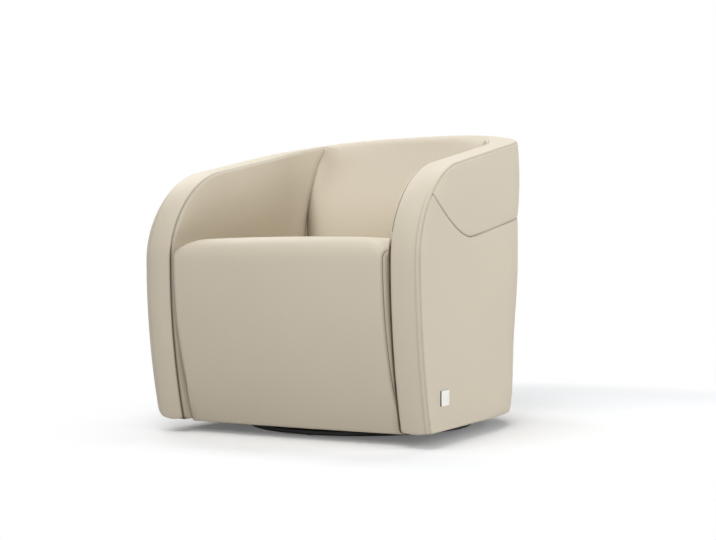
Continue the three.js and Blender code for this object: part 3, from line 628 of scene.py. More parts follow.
def leather_band(shell, pads, rim, material):
    """The rim band and the inside back: one continuous leather between the creases."""
    band = [
        band_point(shell, pads, rim, step, across, away)
        for step in range(len(rim.stations))
        for across, away in section(shell, rim.back(step))
    ]
    points = [point for point, _ in band]
    seams = [seam for _, seam in band]
    columns = len(section(shell, 0))
    faces = grid_faces(len(rim.stations), columns, flip=True)
    foot = [columns * (rim.first_back + index + 1) - 1 for index in range(len(rim.across))]
    below = inside_back_rows(shell, pads, rim)
    faces += hanging_faces(foot, len(points), len(below))
    for row in below:
        points += row
        # Painted shade near each crease on the inside back.
        for (_, _, z), share in zip(row, rim.across):
            distance = min(share, 1 - share) * 2 * (shell.half - rim.crease)
            seams.append(shell.painted_fold_shade(distance, z, pads))
    return mesh_piece("leather_band_and_back", points, faces, material, seams)


def inside_back_rows(shell, pads, rim):
    """Rows of the inside back, from under the band's rounded edge down to below the seat."""
    places = [(EIGHTH_TURN * (1 + row / TURN_ROWS), 0.0) for row in range(1, TURN_ROWS + 1)]
    places += [(QUARTER_TURN, row / PAD_ROWS) for row in range(1, PAD_ROWS + 1)]
    columns = range(len(rim.across))
    return [[back_point(shell, pads, rim, column, *at) for column in columns] for at in places]


def back_point(shell, pads, rim, column, turned, down):
    """A point of the inside back, at a turn on the rounding below the rim and a share of the way down."""
    s = shell.sizes
    share = rim.across[column]
    top_run = rim.crease + 2 * (shell.half - rim.crease) * share
    back = rim.back(rim.first_back + column)
    radius = mix(shell.inset / (1 - DIAGONAL), s.back_round, back)
    fall = mix(shell.inset / (1 - DIAGONAL), s.back_fall, back)
    start = mix(shell.corner_inset(shell.inset), s.back_fall * (1 - DIAGONAL), back)
    depth = start + fall * (DIAGONAL - math.cos(turned))
    inset = radius * (1 - math.sin(turned))
    foot_z = pads.seat_top - pads.below_seat
    z = mix(shell.rim_z(top_run) - depth, foot_z, down)
    crease = shell.crease_run(z, pads)
    run = mix(crease, 2 * shell.half - crease, share)
    high = shell.rim_z(run)
    above = clamp((z - pads.seat_top) / (high - start - pads.seat_top))
    wall = shell.wall_point(run, -shell.middle, z)
    edge = shell.wall_point(shell.crease_run(pads.seat_top, pads), -shell.middle, z)
    side = 1 - 2 * share
    foot = np.array((edge[0] * side, edge[1] + pads.back_hollow * (1 - side * side), z))
    point = foot * (1 - smooth(above)) + wall * smooth(above)
    eased = smooth((high - start - z) / s.back_fall)
    point[1] -= pads.back_puff * math.sin(math.pi * above) * math.sin(math.pi * share) * eased
    distance = min(share, 1 - share) * 2 * (shell.half - crease)
    fade = smooth((high - start - z) / s.corner_blend)
    roll = rounded(distance, pads.crease_back, shell.crease_roll(z, pads)) * fade
    nx, ny = shell.plan(run)[2:]
    return point + np.array((nx, ny, 0.0)) * (inset + roll)


# Where the dip of the side seam begins in front of its start, and the length over which it grows.
DIP_START = 0.02
DIP_EASE = 0.05
# Shares of the flange at which the leather turned under the hem has a line.
FLANGE_SHARES = (1.0, 0.5)
# Least height of the upper panel at its tip, and the height at which it swells fully.
TIP_HEIGHT = 0.0005
PUFF_HEIGHT = 0.1
# Least distance, as a share of the arm, between its even columns and those beside the crease.
CREASE_CLEAR = 0.002


def outer_out(shell, run, z):
    """How far the outer leather stands out from the wall's middle line."""
    inset = shell.corner_inset(shell.rim_depth(run, z)) + shell.hem_inset(run, z)
    near = shell.near(run)
    if near > shell.seam_run - DIP_START:
        inset += shell.seam_dip(run, z) * smooth((near - shell.seam_run + DIP_START) / DIP_EASE)
    return shell.middle - inset


def outer_run(shell, kept, z):
    """Run of a column at a height: on the arms the columns follow the front edge, which draws in."""
    near = shell.near(kept)
    if near < shell.arm:
        near = mix(shell.front_run(z), shell.arm, near / shell.arm)
    return 2 * shell.half - near if kept > shell.half else near


def outer_point(shell, kept, z, puff=0.0):
    """A point of the outer leather on a column, at a height."""
    run = outer_run(shell, kept, z)
    return shell.wall_point(run, outer_out(shell, run, z) + puff, z)


def edge_columns(shell, rim):
    """Run and height of the skins' edge below the rim band, for the stations after the arm's front."""
    columns = []
    for step in range(len(rim.front) - 1, len(rim.stations) - len(rim.front) + 1):
        point, _, away, _ = rim.frames[step]
        run, z = rim.stations[step]
        lower = point - away * shell.inset
        near = shell.near(run)
        if near < shell.arm:
            near += lower[1] - point[1]
        run = 2 * shell.half - near if run > shell.half else near
        columns.append((run, lower[2]))
    return columns


def outer_shade(shell, kept, z):
    """The dark lines of both seams on the outer leather."""
    run = outer_run(shell, kept, z)
    rim = shell.sizes.outer_seam * shell.shade(shell.rim_depth(run, z) - shell.inset)
    return max(rim, shell.side_shade(run, z))


def outer_wrap(shell, rim, material):
    """The lower outer leather: from the hem up to the rim band's seam or, further back, the side seam."""
    s = shell.sizes
    rows, seams = [], []
    for run, high in edge_columns(shell, rim):
        near = shell.near(run)
        if near > shell.seam_run:
            high = min(high, shell.seam_z(run))
        heights = [s.hem + d for d in spaced(high - s.hem, HEM_STEPS, SEAM_STEPS, WALL_ROWS)]
        column = [outer_point(shell, run, z) for z in heights]
        under = []
        for share in FLANGE_SHARES:
            point = shell.wall_point(run, outer_out(shell, run, s.hem) - s.flange * share, s.hem)
            if near < shell.arm:
                point[1] = column[0][1]
            under.append(point)
        rows.append(under + column)
        seams += [0.0] * len(under) + [outer_shade(shell, run, z) for z in heights]
    return grid_piece("outer_leather", rows, material, seams)


def upper_panel(shell, rim, material):
    """The outer leather above the side seam, from its pointed tip on one arm round the back to the other."""
    s = shell.sizes
    rows, seams = [], []
    for run, high in edge_columns(shell, rim):
        near = shell.near(run)
        if near < shell.seam_run:
            continue
        low = min(high - TIP_HEIGHT, shell.seam_z(run))
        heights = [low + d for d in spaced(high - low, SEAM_STEPS, SEAM_STEPS, PANEL_ROWS)]
        column = []
        for z in heights:
            share = (z - low) / (high - low)
            puff = s.panel_puff * math.sin(math.pi * share) * smooth((high - low) / PUFF_HEIGHT)
            column.append(outer_point(shell, run, z, puff))
            seams.append(outer_shade(shell, run, z))
        rows.append(column)
    return grid_piece("upper_outer_leather", rows, material, seams)


def inner_arm_columns(shell, rim):
    """Columns of an inner arm, as (share of the way back to the crease, height of its top)."""
    wide = rim.crease
    creases = [1 - d / wide for d in reversed(CREASE_STEPS)]
    tops = edge_columns(shell, rim)[: len(rim.rising) + 1]
    columns = [(run / wide, z) for run, z in tops if run / wide < creases[0] - CREASE_CLEAR]
    return columns + [(share, shell.rim_z(wide * share) - shell.inset) for share in creases]


def inner_arm(shell, pads, rim, side, material):
    """An inner arm's leather: from its front edge back to the crease, with the edge there rolled in."""
    s = shell.sizes
    rows, seams = [], []
    columns = inner_arm_columns(shell, rim)
    crease_high = columns[-1][1]
    for share, high in columns:
        column = []
        for d in spaced(high - s.hem, HEM_STEPS, SEAM_STEPS, WALL_ROWS):
            z = s.hem + d
            above = clamp((z - pads.seat_top) / (high - pads.seat_top))
            crease = shell.crease_run(mix(pads.seat_top, crease_high, above), pads)
            run = mix(shell.front_run(z), crease, share)
            depth = shell.rim_depth(run, z)
            to_crease = (1 - share) * crease
            swell = pads.arm_puff * math.sin(math.pi * above) * math.sin(math.pi * share)
            inset = shell.corner_inset(depth) + rounded(z - s.hem, s.arm_hem_round)
            fade = smooth((high - z) / s.corner_blend)
            inset += rounded(to_crease, pads.crease_arm, shell.crease_roll(z, pads)) * fade
            column.append(shell.wall_point(run, inset - shell.middle - swell, z) * (side, 1, 1))
            whole_run = run if side > 0 else 2 * shell.half - run
            line = shell.arm_seam_and_gap_shade(depth - shell.inset, whole_run, z, pads)
            # The inner seam's line with painted gap shade beside the seat, and painted shade near the crease.
            seams.append(max(line, shell.painted_fold_shade(to_crease, z, pads)))
        rows.append(column)
    name = "inner_arm_leather_right" if side > 0 else "inner_arm_leather_left"
    return grid_piece(name, rows, material, seams, flip=side > 0)


# Places of the mesh's lines on the seat's rounded side, as shares of the way to the seam and on from it.
SEAM_BEFORE = (0.0, 0.2, 0.4, 0.58, 0.73, 0.84, 0.92, 0.97)
SEAM_AFTER = (0.0, 0.03, 0.07, 0.14, 0.24, 0.4, 0.6, 0.8, 1.0)
# Places of the lines on the seat's side face, as shares of the way in to its inside.
SIDE_SHARES = (0.1, 0.25, 0.5, 0.75, 1.0)
# Places of the lines near the seat's rear edge, for a seat of this depth.
REAR_STEPS = (0.0, 0.0015, 0.004, 0.008, 0.013, 0.019, 0.026, 0.035, 0.05)
REAR_REACH = 0.4
# Counts of the seat's other rows, and of columns over and under each half.
SEAT_TOP_ROWS = 26
SEAT_TURN_ROWS = 16
SEAT_FRONT_ROWS = 36
OVER_COLUMNS = 14
UNDER_COLUMNS = 5
# Width of the seat's seam as a multiple of the shell's.
SEAT_DIP_SPREAD = 1.5


class SeatPlan:
    """The seat cushion: stations from its rear edge over the top and the rounded front down to the hem."""

    def __init__(self, shell, pads):
        self.shell = shell
        self.pads = pads
        s = shell.sizes
        self.half = shell.line - shell.middle - pads.seat_gap
        edge = shell.wall_point(shell.crease_run(pads.seat_top, pads), -shell.middle, pads.seat_top)
        self.edge_x, self.edge_y = edge[0], edge[1] - pads.seat_gap
        self.radius = pads.seat_edge
        self.front_start = pads.seat_nose + self.radius
        top = [d / REAR_REACH for d in REAR_STEPS]
        top += [mix(top[-1], 1.0, step / SEAT_TOP_ROWS) for step in range(1, SEAT_TOP_ROWS + 1)]
        self.stations = [("top", share) for share in top]
        self.stations += [("turn", step / SEAT_TURN_ROWS) for step in range(1, SEAT_TURN_ROWS)]
        heights = spaced(pads.seat_top - self.radius - pads.seat_hem, HEM_STEPS, (0.0,), SEAT_FRONT_ROWS)
        self.stations += [("front", pads.seat_hem + d) for d in reversed(heights)]

    def front(self, z):
        """Where the seat's front face stands at a height."""
        return self.pads.seat_nose + self.shell.lean(z, self.pads.seat_draw_in)

    def half_at(self, y):
        """Half the seat's width at a distance back, where it narrows between the rear corners."""
        s = self.shell.sizes
        beyond = max(0.0, y - s.corner_start)
        reach = self.shell.corner - self.shell.middle - self.pads.seat_gap
        return self.shell.corner_x + math.sqrt(max(0.0, reach**2 - beyond**2)) if beyond else self.half

    def bow(self, kind, share, x):
        """How far the top's rear is bowed back at a distance from the middle."""
        return self.pads.back_hollow * (1 - (x / self.edge_x) ** 2) * (1 - share) if kind == "top" else 0.0

    def row(self, kind, share):
        """One station: (y, z) outside and inside, direction out, and how much it belongs to the front.

        A station of the top or the turn is given by its share of the way, and one of the front by its height.
        """
        p = self.pads
        if kind == "top":
            y = mix(self.edge_y, self.front_start, share)
            inner_y = mix(self.edge_y, p.seat_nose + p.apron + p.inner_edge, share)
            return (y, p.seat_top), (inner_y, p.deck), (0.0, 1.0), 0.0
        if kind == "turn":
            turned = QUARTER_TURN * share
            away = (-math.sin(turned), math.cos(turned))
            centre = (self.front_start, p.seat_top - self.radius)
            inner = (p.seat_nose + p.apron + p.inner_edge, p.deck - p.inner_edge)
            outside = (centre[0] + away[0] * self.radius, centre[1] + away[1] * self.radius)
            inside = (inner[0] + away[0] * p.inner_edge, inner[1] + away[1] * p.inner_edge)
            return outside, inside, away, smooth(share)
        low = self.pads.seat_hem
        top = p.seat_top - self.radius
        inner_z = mix(low, p.deck - p.inner_edge, (share - low) / (top - low))
        y = self.front(share) + rounded(share - low, self.shell.sizes.arm_hem_round)
        return (y, share), (self.front(inner_z) + p.apron, inner_z), (-1.0, 0.0), 1.0

    def edge_sizes(self, front, above):
        """Width and depth of the seat's rounded side, and its seam's place as an angle on that rounding."""
        p = self.pads
        grown = smooth(above / p.hem_reach)
        wide = mix(p.shoulder_width, mix(p.hem_width, p.front_width, grown), front)
        deep = mix(p.shoulder_drop, mix(p.hem_width, p.front_drop, grown), front)
        return wide, deep, mix(p.seam_angle_top, p.seam_angle_front, front**3)

    def section(self, front, width, above):
        """Half a section, from the middle outwards: x, drop inwards, share of the way in, and darkening: the
        seam's line and painted shade in the gap beside the arm.
        """
        p = self.pads
        wide, deep, seam = self.edge_sizes(front, above)
        turns = [seam * share for share in SEAM_BEFORE]
        turns += [mix(seam, QUARTER_TURN, share) for share in SEAM_AFTER]
        points = []
        for step in range(OVER_COLUMNS):
            x = (width - wide) * step / OVER_COLUMNS
            points.append((x, p.seat_bow * (x / width) ** 2, 0.0, 0.0))
        for turned in turns:
            x = width - wide * (1 - math.sin(turned))
            drop = deep * (1 - math.cos(turned)) + p.seat_bow * (x / width) ** 2
            distance = abs(turned - seam) * math.hypot(wide * math.cos(seam), deep * math.sin(seam))
            drop += p.seat_seam_depth * math.exp(-distance / self.shell.sizes.seam_width / SEAT_DIP_SPREAD)
            dark = self.shell.shade(distance)
            # Behind the seam, painted shade that grows into the gap beside the arm, only towards the front.
            if turned > seam:
                behind = ((turned - seam) / (QUARTER_TURN - seam)) ** 2
                dark = max(dark, front * mix(p.painted_strip_shade, 1.0, behind))
            points.append((x, drop, 0.0, dark))
        last = points[-1][1]
        # The side face beside the arm gets painted shade, as strong as its share of the front.
        return points + [(width, last, share, front) for share in SIDE_SHARES]


def seat_points(plan):
    """Rows of the seat's closed sections, each from the middle to the right, round under it and back."""
    rows = []
    p = plan.pads
    for kind, share in plan.stations:
        outside, inside, away, front = plan.row(kind, share)
        width = plan.half_at(outside[0]) if kind == "top" else plan.half
        half = []
        for x, drop, inward, seam in plan.section(front, width, outside[1] - p.seat_hem):
            bow = plan.bow(kind, share, x)
            if kind == "top":
                drop += rounded(share * (plan.edge_y - plan.front_start), p.rear_width, p.rear_drop)
            y = outside[0] + bow - away[0] * drop
            z = outside[1] - away[1] * drop
            half.append((x, mix(y, inside[0] + bow, inward), mix(z, inside[1], inward), seam))
        for step in reversed(range(UNDER_COLUMNS)):
            x = width * step / UNDER_COLUMNS
            half.append((x, inside[0] + plan.bow(kind, share, x), inside[1], 0.0))
        rows.append(half + [(-x, y, z, seam) for x, y, z, seam in reversed(half[1:-1])])
    return rows


def seat_cushion(shell, pads, material):
    """The tight seat: one closed waterfall cushion."""
    plan = SeatPlan(shell, pads)
    rows = seat_points(plan)
    count = len(rows[0])
    points = [(x, y, z) for row in rows for x, y, z, _ in row]
    seams = [seam for row in rows for *_, seam in row]
    faces = []
    for row in range(len(rows) - 1):
        for column in range(count):
            a = row * count + column
            b = row * count + (column + 1) % count
            faces.append((a, a + count, b + count, b))
    faces.append(tuple(range(count)))
    faces.append(tuple(reversed(range((len(rows) - 1) * count, len(rows) * count))))
    return mesh_piece("seat_leather", points, faces, material, seams)


class NodeWriter:
    """A short way to write the nodes of a material, a shader group or a geometry group."""

    # Places of a mix node's sockets for two colours and for their mix.
    FIRST_COLOUR, SECOND_COLOUR, MIXED_COLOUR = 6, 7, 2

    def __init__(self, tree):
        self.tree = tree

    def add(self, kind, inputs=None, **settings):
        """A node, with its inputs by name or number: each is a value, or a socket to be linked."""
        node = self.tree.nodes.new(kind)
        for name, value in settings.items():
            setattr(node, name, value)
        for name, value in (inputs or {}).items():
            if isinstance(value, bpy.types.NodeSocket):
                self.tree.links.new(value, node.inputs[name])
            else:
                node.inputs[name].default_value = value
        return node

    def math(self, operation, inputs, **settings):
        return self.add("ShaderNodeMath", inputs, operation=operation, **settings).outputs[0]

    def vector_math(self, operation, inputs):
        return self.add("ShaderNodeVectorMath", inputs, operation=operation).outputs[0]

    def part_of(self, vector, axis):
        return self.add("ShaderNodeSeparateXYZ", {0: vector}).outputs[axis]

    def mixed(self, share, first, second):
        """A colour between two others."""
        inputs = {0: share, self.FIRST_COLOUR: first, self.SECOND_COLOUR: second}
        return self.add("ShaderNodeMix", data_type="RGBA", inputs=inputs).outputs[self.MIXED_COLOUR]


def new_material(name):
    material = bpy.data.materials.new(name)
    material.use_nodes = True
    material.node_tree.nodes.clear()
    return material, NodeWriter(material.node_tree)


def placed_material(name):
    """A new material, the writer of its nodes and the place on the object."""
    material, nodes = new_material(name)
    return material, nodes, nodes.add("ShaderNodeTexCoord").outputs["Object"]


def node_group(name, kind, inputs, outputs):
    """An empty node group with named sockets, given as (name, socket type, default)."""
    tree = bpy.data.node_groups.new(name, kind)
    for label, socket, default in inputs:
        made = tree.interface.new_socket(label, in_out="INPUT", socket_type=socket)
        if default is not None:
            made.default_value = default
    for label, socket in outputs:
        tree.interface.new_socket(label, in_out="OUTPUT", socket_type=socket)
    nodes = NodeWriter(tree)
    return tree, nodes, nodes.add("NodeGroupInput").outputs


FLOAT, VECTOR, COLOUR = "NodeSocketFloat", "NodeSocketVector", "NodeSocketColor"
EVEN = (1.0, 1.0, 1.0)
WHITE = (*EVEN, 1.0)


def grey(tone):
    return (tone, tone, tone, 1)


def grain_group():
    """A fine raised grain: leather pores, foam cells or moulded plastic."""
    inputs = [
        ("Place", VECTOR, None),
        ("Scale", FLOAT, 500.0),
        ("Height", FLOAT, 0.0002),
        ("Stretch", VECTOR, EVEN),
    ]
    outputs = [("Normal", VECTOR), ("Shade", FLOAT)]
    tree, nodes, given = node_group("fine grain", "ShaderNodeTree", inputs, outputs)
    stretched = nodes.vector_math("MULTIPLY", {0: given["Place"], 1: given["Stretch"]})
    where = {"Vector": stretched, "Scale": given["Scale"]}
    cells = nodes.add("ShaderNodeTexVoronoi", {**where, "Randomness": 0.9})
    fuzz = nodes.add("ShaderNodeTexNoise", {**where, "Detail": 3.0})
    both = nodes.math("ADD", {0: cells.outputs["Distance"], 1: fuzz.outputs["Fac"]})
    bump = nodes.add("ShaderNodeBump", {"Height": both, "Distance": given["Height"], "Strength": 1.0})
    nodes.add("NodeGroupOutput", {"Normal": bump.outputs[0], "Shade": fuzz.outputs["Fac"]})
    return tree


def weave_group():
    """Crossed yarns: a raised weave and its shade."""
    inputs = [("Place", VECTOR, None), ("Yarns", FLOAT, 300.0), ("Height", FLOAT, 0.0003)]
    outputs = [("Normal", VECTOR), ("Shade", FLOAT)]
    tree, nodes, given = node_group("crossed yarns", "ShaderNodeTree", inputs, outputs)
    wave = {"Vector": given["Place"], "Scale": given["Yarns"], "Distortion": 0.4, "Detail": 1.0}
    across, along = (
        nodes.add("ShaderNodeTexWave", wave, bands_direction=direction).outputs["Fac"]
        for direction in ("X", "Y")
    )
    yarns = nodes.math("MAXIMUM", {0: across, 1: along})
    bump = nodes.add("ShaderNodeBump", {"Height": yarns, "Distance": given["Height"], "Strength": 1.0})
    nodes.add("NodeGroupOutput", {"Normal": bump.outputs[0], "Shade": yarns})
    return tree


def mottle_group():
    """Uneven tone: broad clouds and fine specks, lighter and darker than the given colour."""
    inputs = [
        ("Place", VECTOR, None),
        ("Colour", COLOUR, WHITE),
        ("Clouds", FLOAT, 6.0),
        ("Specks", FLOAT, 220.0),
        ("Variation", FLOAT, 0.05),
    ]
    outputs = [("Colour", COLOUR), ("Shade", FLOAT)]
    tree, nodes, given = node_group("uneven tone", "ShaderNodeTree", inputs, outputs)
    clouds, specks = (
        nodes.add("ShaderNodeTexNoise", {"Vector": given["Place"], "Scale": scale, "Detail": detail})
        for scale, detail in ((given["Clouds"], 4.0), (given["Specks"], 2.0))
    )
    both = nodes.math("ADD", {0: clouds.outputs["Fac"], 1: specks.outputs["Fac"]})
    centred = nodes.math("SUBTRACT", {0: both, 1: 1.0})
    spread = nodes.math("MULTIPLY_ADD", {0: centred, 1: given["Variation"], 2: 1.0})
    tinted = nodes.vector_math("SCALE", {0: given["Colour"], "Scale": spread})
    nodes.add("NodeGroupOutput", {"Colour": tinted, "Shade": clouds.outputs["Fac"]})
    return tree


def dust_group():
    """Pale dust that lies on what faces up, in patches."""
    inputs = [
        ("Place", VECTOR, None),
        ("Colour", COLOUR, WHITE),
        ("Dust", COLOUR, (0.45, 0.42, 0.38, 1)),
        ("Amount", FLOAT, 0.3),
    ]
    outputs = [("Colour", COLOUR), ("Mask", FLOAT)]
    tree, nodes, given = node_group("settled dust", "ShaderNodeTree", inputs, outputs)
    facing = nodes.part_of(nodes.add("ShaderNodeNewGeometry").outputs["Normal"], "Z")
    patches = nodes.add("ShaderNodeTexNoise", {"Vector": given["Place"], "Scale": 25.0, "Detail": 5.0})
    upward = nodes.add("ShaderNodeMapRange", {"Value": facing, "From Min": 0.2}).outputs["Result"]
    lying = nodes.math("MULTIPLY", {0: upward, 1: patches.outputs["Fac"]})
    mask = nodes.math("MULTIPLY", {0: lying, 1: given["Amount"]})
    dusty = nodes.mixed(mask, given["Colour"], given["Dust"])
    nodes.add("NodeGroupOutput", {"Colour": dusty, "Mask": mask})
    return tree


def shared_group(name, make):
    return bpy.data.node_groups.get(name) or make()


def use_group(nodes, name, make, inputs):
    """The outputs of a shared group placed in a material."""
    return nodes.add("ShaderNodeGroup", inputs, node_tree=shared_group(name, make)).outputs


def grained(nodes, place, scale, height, stretch=EVEN):
    """The bumped normal of a fine grain."""
    inputs = {"Place": place, "Scale": scale, "Height": height, "Stretch": stretch}
    return use_group(nodes, "fine grain", grain_group, inputs)["Normal"]


def woven(nodes, place, yarns, height):
    """The bumped normal and the shade of crossed yarns."""
    inputs = {"Place": place, "Yarns": yarns, "Height": height}
    return use_group(nodes, "crossed yarns", weave_group, inputs)


def toned(nodes, place, colour, variation, **more):
    """A colour made uneven, and the shade that does it."""
    inputs = {"Place": place, "Colour": colour, "Variation": variation, **more}
    return use_group(nodes, "uneven tone", mottle_group, inputs)


def dusted(nodes, place, colour, cover):
    """A colour with settled dust on it."""
    inputs = {"Place": place, "Colour": colour, "Amount": cover}
    return use_group(nodes, "settled dust", dust_group, inputs)["Colour"]


def finish_material(nodes, colour, inputs, roughness):
    """Ends a material with its surface."""
    shader = nodes.add("ShaderNodeBsdfPrincipled", {"Base Color": colour, "Roughness": roughness, **inputs})
    nodes.add("ShaderNodeOutputMaterial", {"Surface": shader.outputs[0]})


def leather_material(looks):
    """Smooth, pale leather with a fine grain, darker in its seams, with painted shade in its creases and
    beside the seat.
    """
    material, nodes, place = placed_material("smooth pale leather")
    tone = toned(nodes, place, (*looks.leather_colour, 1), looks.leather_variation)
    # The seam attribute's darkening is the seams' lines and painted shade in the creases and gaps.
    seam = nodes.add("ShaderNodeAttribute", attribute_name="seam").outputs["Fac"]
    depth = nodes.math("MULTIPLY", {0: seam, 1: looks.seam_and_shade_strength}, use_clamp=True)
    colour = nodes.mixed(depth, tone["Colour"], (*looks.seam_and_shade_colour, 1))
    grain = grained(nodes, place, looks.pore_scale, looks.pore_height)
    sheen = {"Value": tone["Shade"], "To Min": looks.sheen_low, "To Max": looks.sheen_high}
    rough = nodes.add("ShaderNodeMapRange", sheen).outputs["Result"]
    finish_material(nodes, colour, {"Normal": grain, "Specular IOR Level": 0.35}, roughness=rough)
    return material


def thread_material(looks):
    """Twisted thread, a little darker than the leather."""
    material, nodes, place = placed_material("leather thread")
    strands = woven(nodes, place, yarns=900.0, height=0.0001)
    finish_material(nodes, (*looks.thread_colour, 1), {"Normal": strands["Normal"]}, roughness=0.7)
    return material


def timber_material():
    """Planed hardwood with long grain lines."""
    material, nodes, place = placed_material("planed timber")
    late_wood, early_wood = (0.52, 0.36, 0.20, 1), (0.68, 0.51, 0.32, 1)
    ring_stretch, pore_stretch = (1.0, 1.0, 0.12), (1.0, 1.0, 0.1)
    long_way = nodes.vector_math("MULTIPLY", {0: place, 1: ring_stretch})
    rings = {"Vector": long_way, "Scale": 18.0, "Distortion": 7.0, "Detail": 3.0, "Detail Scale": 1.6}
    wood = nodes.mixed(nodes.add("ShaderNodeTexWave", rings).outputs["Fac"], late_wood, early_wood)
    tone = toned(nodes, place, wood, variation=0.15)
    grain = grained(nodes, place, scale=260.0, height=0.0001, stretch=pore_stretch)
    finish_material(nodes, tone["Colour"], {"Normal": grain}, roughness=0.65)
    return material


def webbing_material():
    """Dark elastic webbing with pale lines."""
    material, nodes, place = placed_material("elastic webbing")
    dark, pale = grey(0.02), (0.11, 0.10, 0.085, 1)
    yarns = woven(nodes, place, yarns=160.0, height=0.0004)
    colour = nodes.mixed(yarns["Shade"], dark, pale)
    finish_material(nodes, colour, {"Normal": yarns["Normal"]}, roughness=0.85)
    return material


def lining_material():
    """Thin black dust cloth."""
    material, nodes, place = placed_material("black dust cloth")
    gap, yarn = grey(0.006), grey(0.028)
    yarns = woven(nodes, place, yarns=420.0, height=0.0002)
    colour = dusted(nodes, place, nodes.mixed(yarns["Shade"], gap, yarn), cover=0.1)
    finish_material(nodes, colour, {"Normal": yarns["Normal"]}, roughness=0.9)
    return material


def painted_material():
    """Satin black paint on the round base, with a little dust."""
    material, nodes, place = placed_material("satin black paint")
    tone = toned(nodes, place, grey(0.012), variation=0.3)
    colour = dusted(nodes, place, tone["Colour"], cover=0.05)
    skin = grained(nodes, place, scale=900.0, height=0.00004)
    finish_material(nodes, colour, {"Normal": skin}, roughness=0.42)
    return material


def steel_material():
    """Zinc-plated steel."""
    material, nodes, place = placed_material("zinc-plated steel")
    tone = toned(nodes, place, (0.58, 0.59, 0.60, 1), variation=0.25, Clouds=40.0)
    rough = nodes.add("ShaderNodeMapRange", {"Value": tone["Shade"], "To Min": 0.25, "To Max": 0.5})
    finish_material(nodes, tone["Colour"], {"Metallic": 1.0}, rough.outputs["Result"])
    return material


def plastic_material():
    """Moulded black plastic."""
    material, nodes, place = placed_material("moulded black plastic")
    skin = grained(nodes, place, scale=700.0, height=0.00008)
    finish_material(nodes, grey(0.02), {"Normal": skin}, roughness=0.55)
    return material


def plate_material():
    """The side tag: a bare plate of pale brushed metal, with its edges painted dark as a painted reflection
    and shade of polished edges.
    """
    material, nodes, place = placed_material("pale brushed plate")
    # The dark colour is painted reflection and shade on the plate's edges.
    pale, dark = (0.90, 0.89, 0.85, 1), (0.10, 0.09, 0.08, 1)
    brushed = grained(nodes, place, scale=1500.0, height=0.00003, stretch=(1, 1, 0.06))
    tone = toned(nodes, place, pale, variation=0.04)
    least_facing = 0.7  # where a normal turns less than this to the side, it is the plate's edge
    facing = nodes.part_of(nodes.add("ShaderNodeTexCoord").outputs["Normal"], "X")
    face = nodes.math("GREATER_THAN", {0: facing, 1: least_facing})
    colour = nodes.mixed(face, dark, tone["Colour"])
    finish_material(nodes, colour, {"Normal": brushed, "Metallic": 0.35}, roughness=0.4)
    return material


def foam_material():
    """Cut upholstery foam."""
    material, nodes, place = placed_material("cut foam")
    cells = grained(nodes, place, scale=380.0, height=0.0006)
    tone = toned(nodes, place, (0.76, 0.70, 0.50, 1), variation=0.1)
    finish_material(nodes, tone["Colour"], {"Normal": cells}, roughness=0.95)
    return material


def stitch_group():
    """Stitches along a line: short round threads, one each pitch, each turned a little."""
    inputs = [
        ("Geometry", "NodeSocketGeometry", None),
        ("Pitch", FLOAT, 0.005),
        ("Length", FLOAT, 0.0036),
        ("Width", FLOAT, 0.0009),
        ("Tilt", FLOAT, 0.08),
        ("Seed", "NodeSocketInt", 1),
        ("Thread", "NodeSocketMaterial", None),
    ]
    outputs = [("Geometry", "NodeSocketGeometry")]
    tree, nodes, given = node_group("thread stitches", "GeometryNodeTree", inputs, outputs)

    def made(kind, inputs=None, output=0, **settings):
        return nodes.add(kind, inputs, **settings).outputs[output]

    line = made("GeometryNodeMeshToCurve", {"Mesh": given["Geometry"]})
    even = made("GeometryNodeResampleCurve", {"Curve": line, "Length": given["Pitch"]}, mode="LENGTH")
    tangent = made("GeometryNodeInputTangent")
    along = made("FunctionNodeAlignRotationToVector", {"Vector": tangent}, axis="X")
    back = nodes.math("MULTIPLY", {0: given["Tilt"], 1: -1.0})
    # Inputs 2 and 3 of a random value are the least and the most of a plain number, which is output 1.
    limits = {2: back, 3: given["Tilt"], "Seed": given["Seed"]}
    chance = made("FunctionNodeRandomValue", limits, output=1, data_type="FLOAT")
    lean = made("FunctionNodeEulerToRotation", {0: made("ShaderNodeCombineXYZ", {"Z": chance})})
    turn = {"Rotation": along, "Rotate By": lean}
    turned = made("FunctionNodeRotateRotation", turn, rotation_space="LOCAL")
    ball = made("GeometryNodeMeshUVSphere", {"Segments": 6, "Rings": 5, "Radius": 0.5}, output="Mesh")
    size = made("ShaderNodeCombineXYZ", {"X": given["Length"], "Y": given["Width"], "Z": given["Width"]})
    stitch = {"Points": even, "Instance": ball, "Rotation": turned, "Scale": size}
    threads = made("GeometryNodeInstanceOnPoints", stitch)
    real = made("GeometryNodeRealizeInstances", {"Geometry": threads})
    sewn = made("GeometryNodeSetMaterial", {"Geometry": real, "Material": given["Thread"]})
    nodes.add("NodeGroupOutput", {"Geometry": sewn})
    return tree


def topstitch_lines(shell, rim):
    """The second line on the front of both arms, beside the outer seam, up to where the side seam starts."""
    s = shell.sizes
    across = shell.middle - shell.inset - s.topstitch
    lines = [[], []]
    for step, (run, z) in enumerate(rim.stations):
        left = run > shell.half
        if shell.near(run) < shell.seam_run and z > s.hem + s.arm_hem_round:
            low = rounded(z - s.hem, *shell.corner_hem(left)) if z < shell.rim_z(0) else 0.0
            share = clamp(across / (shell.middle - shell.inset))
            point = rim.at(step, across - low * share, shell.crown(across) - s.topstitch_depth)
            lines[left].append(point)
    return lines


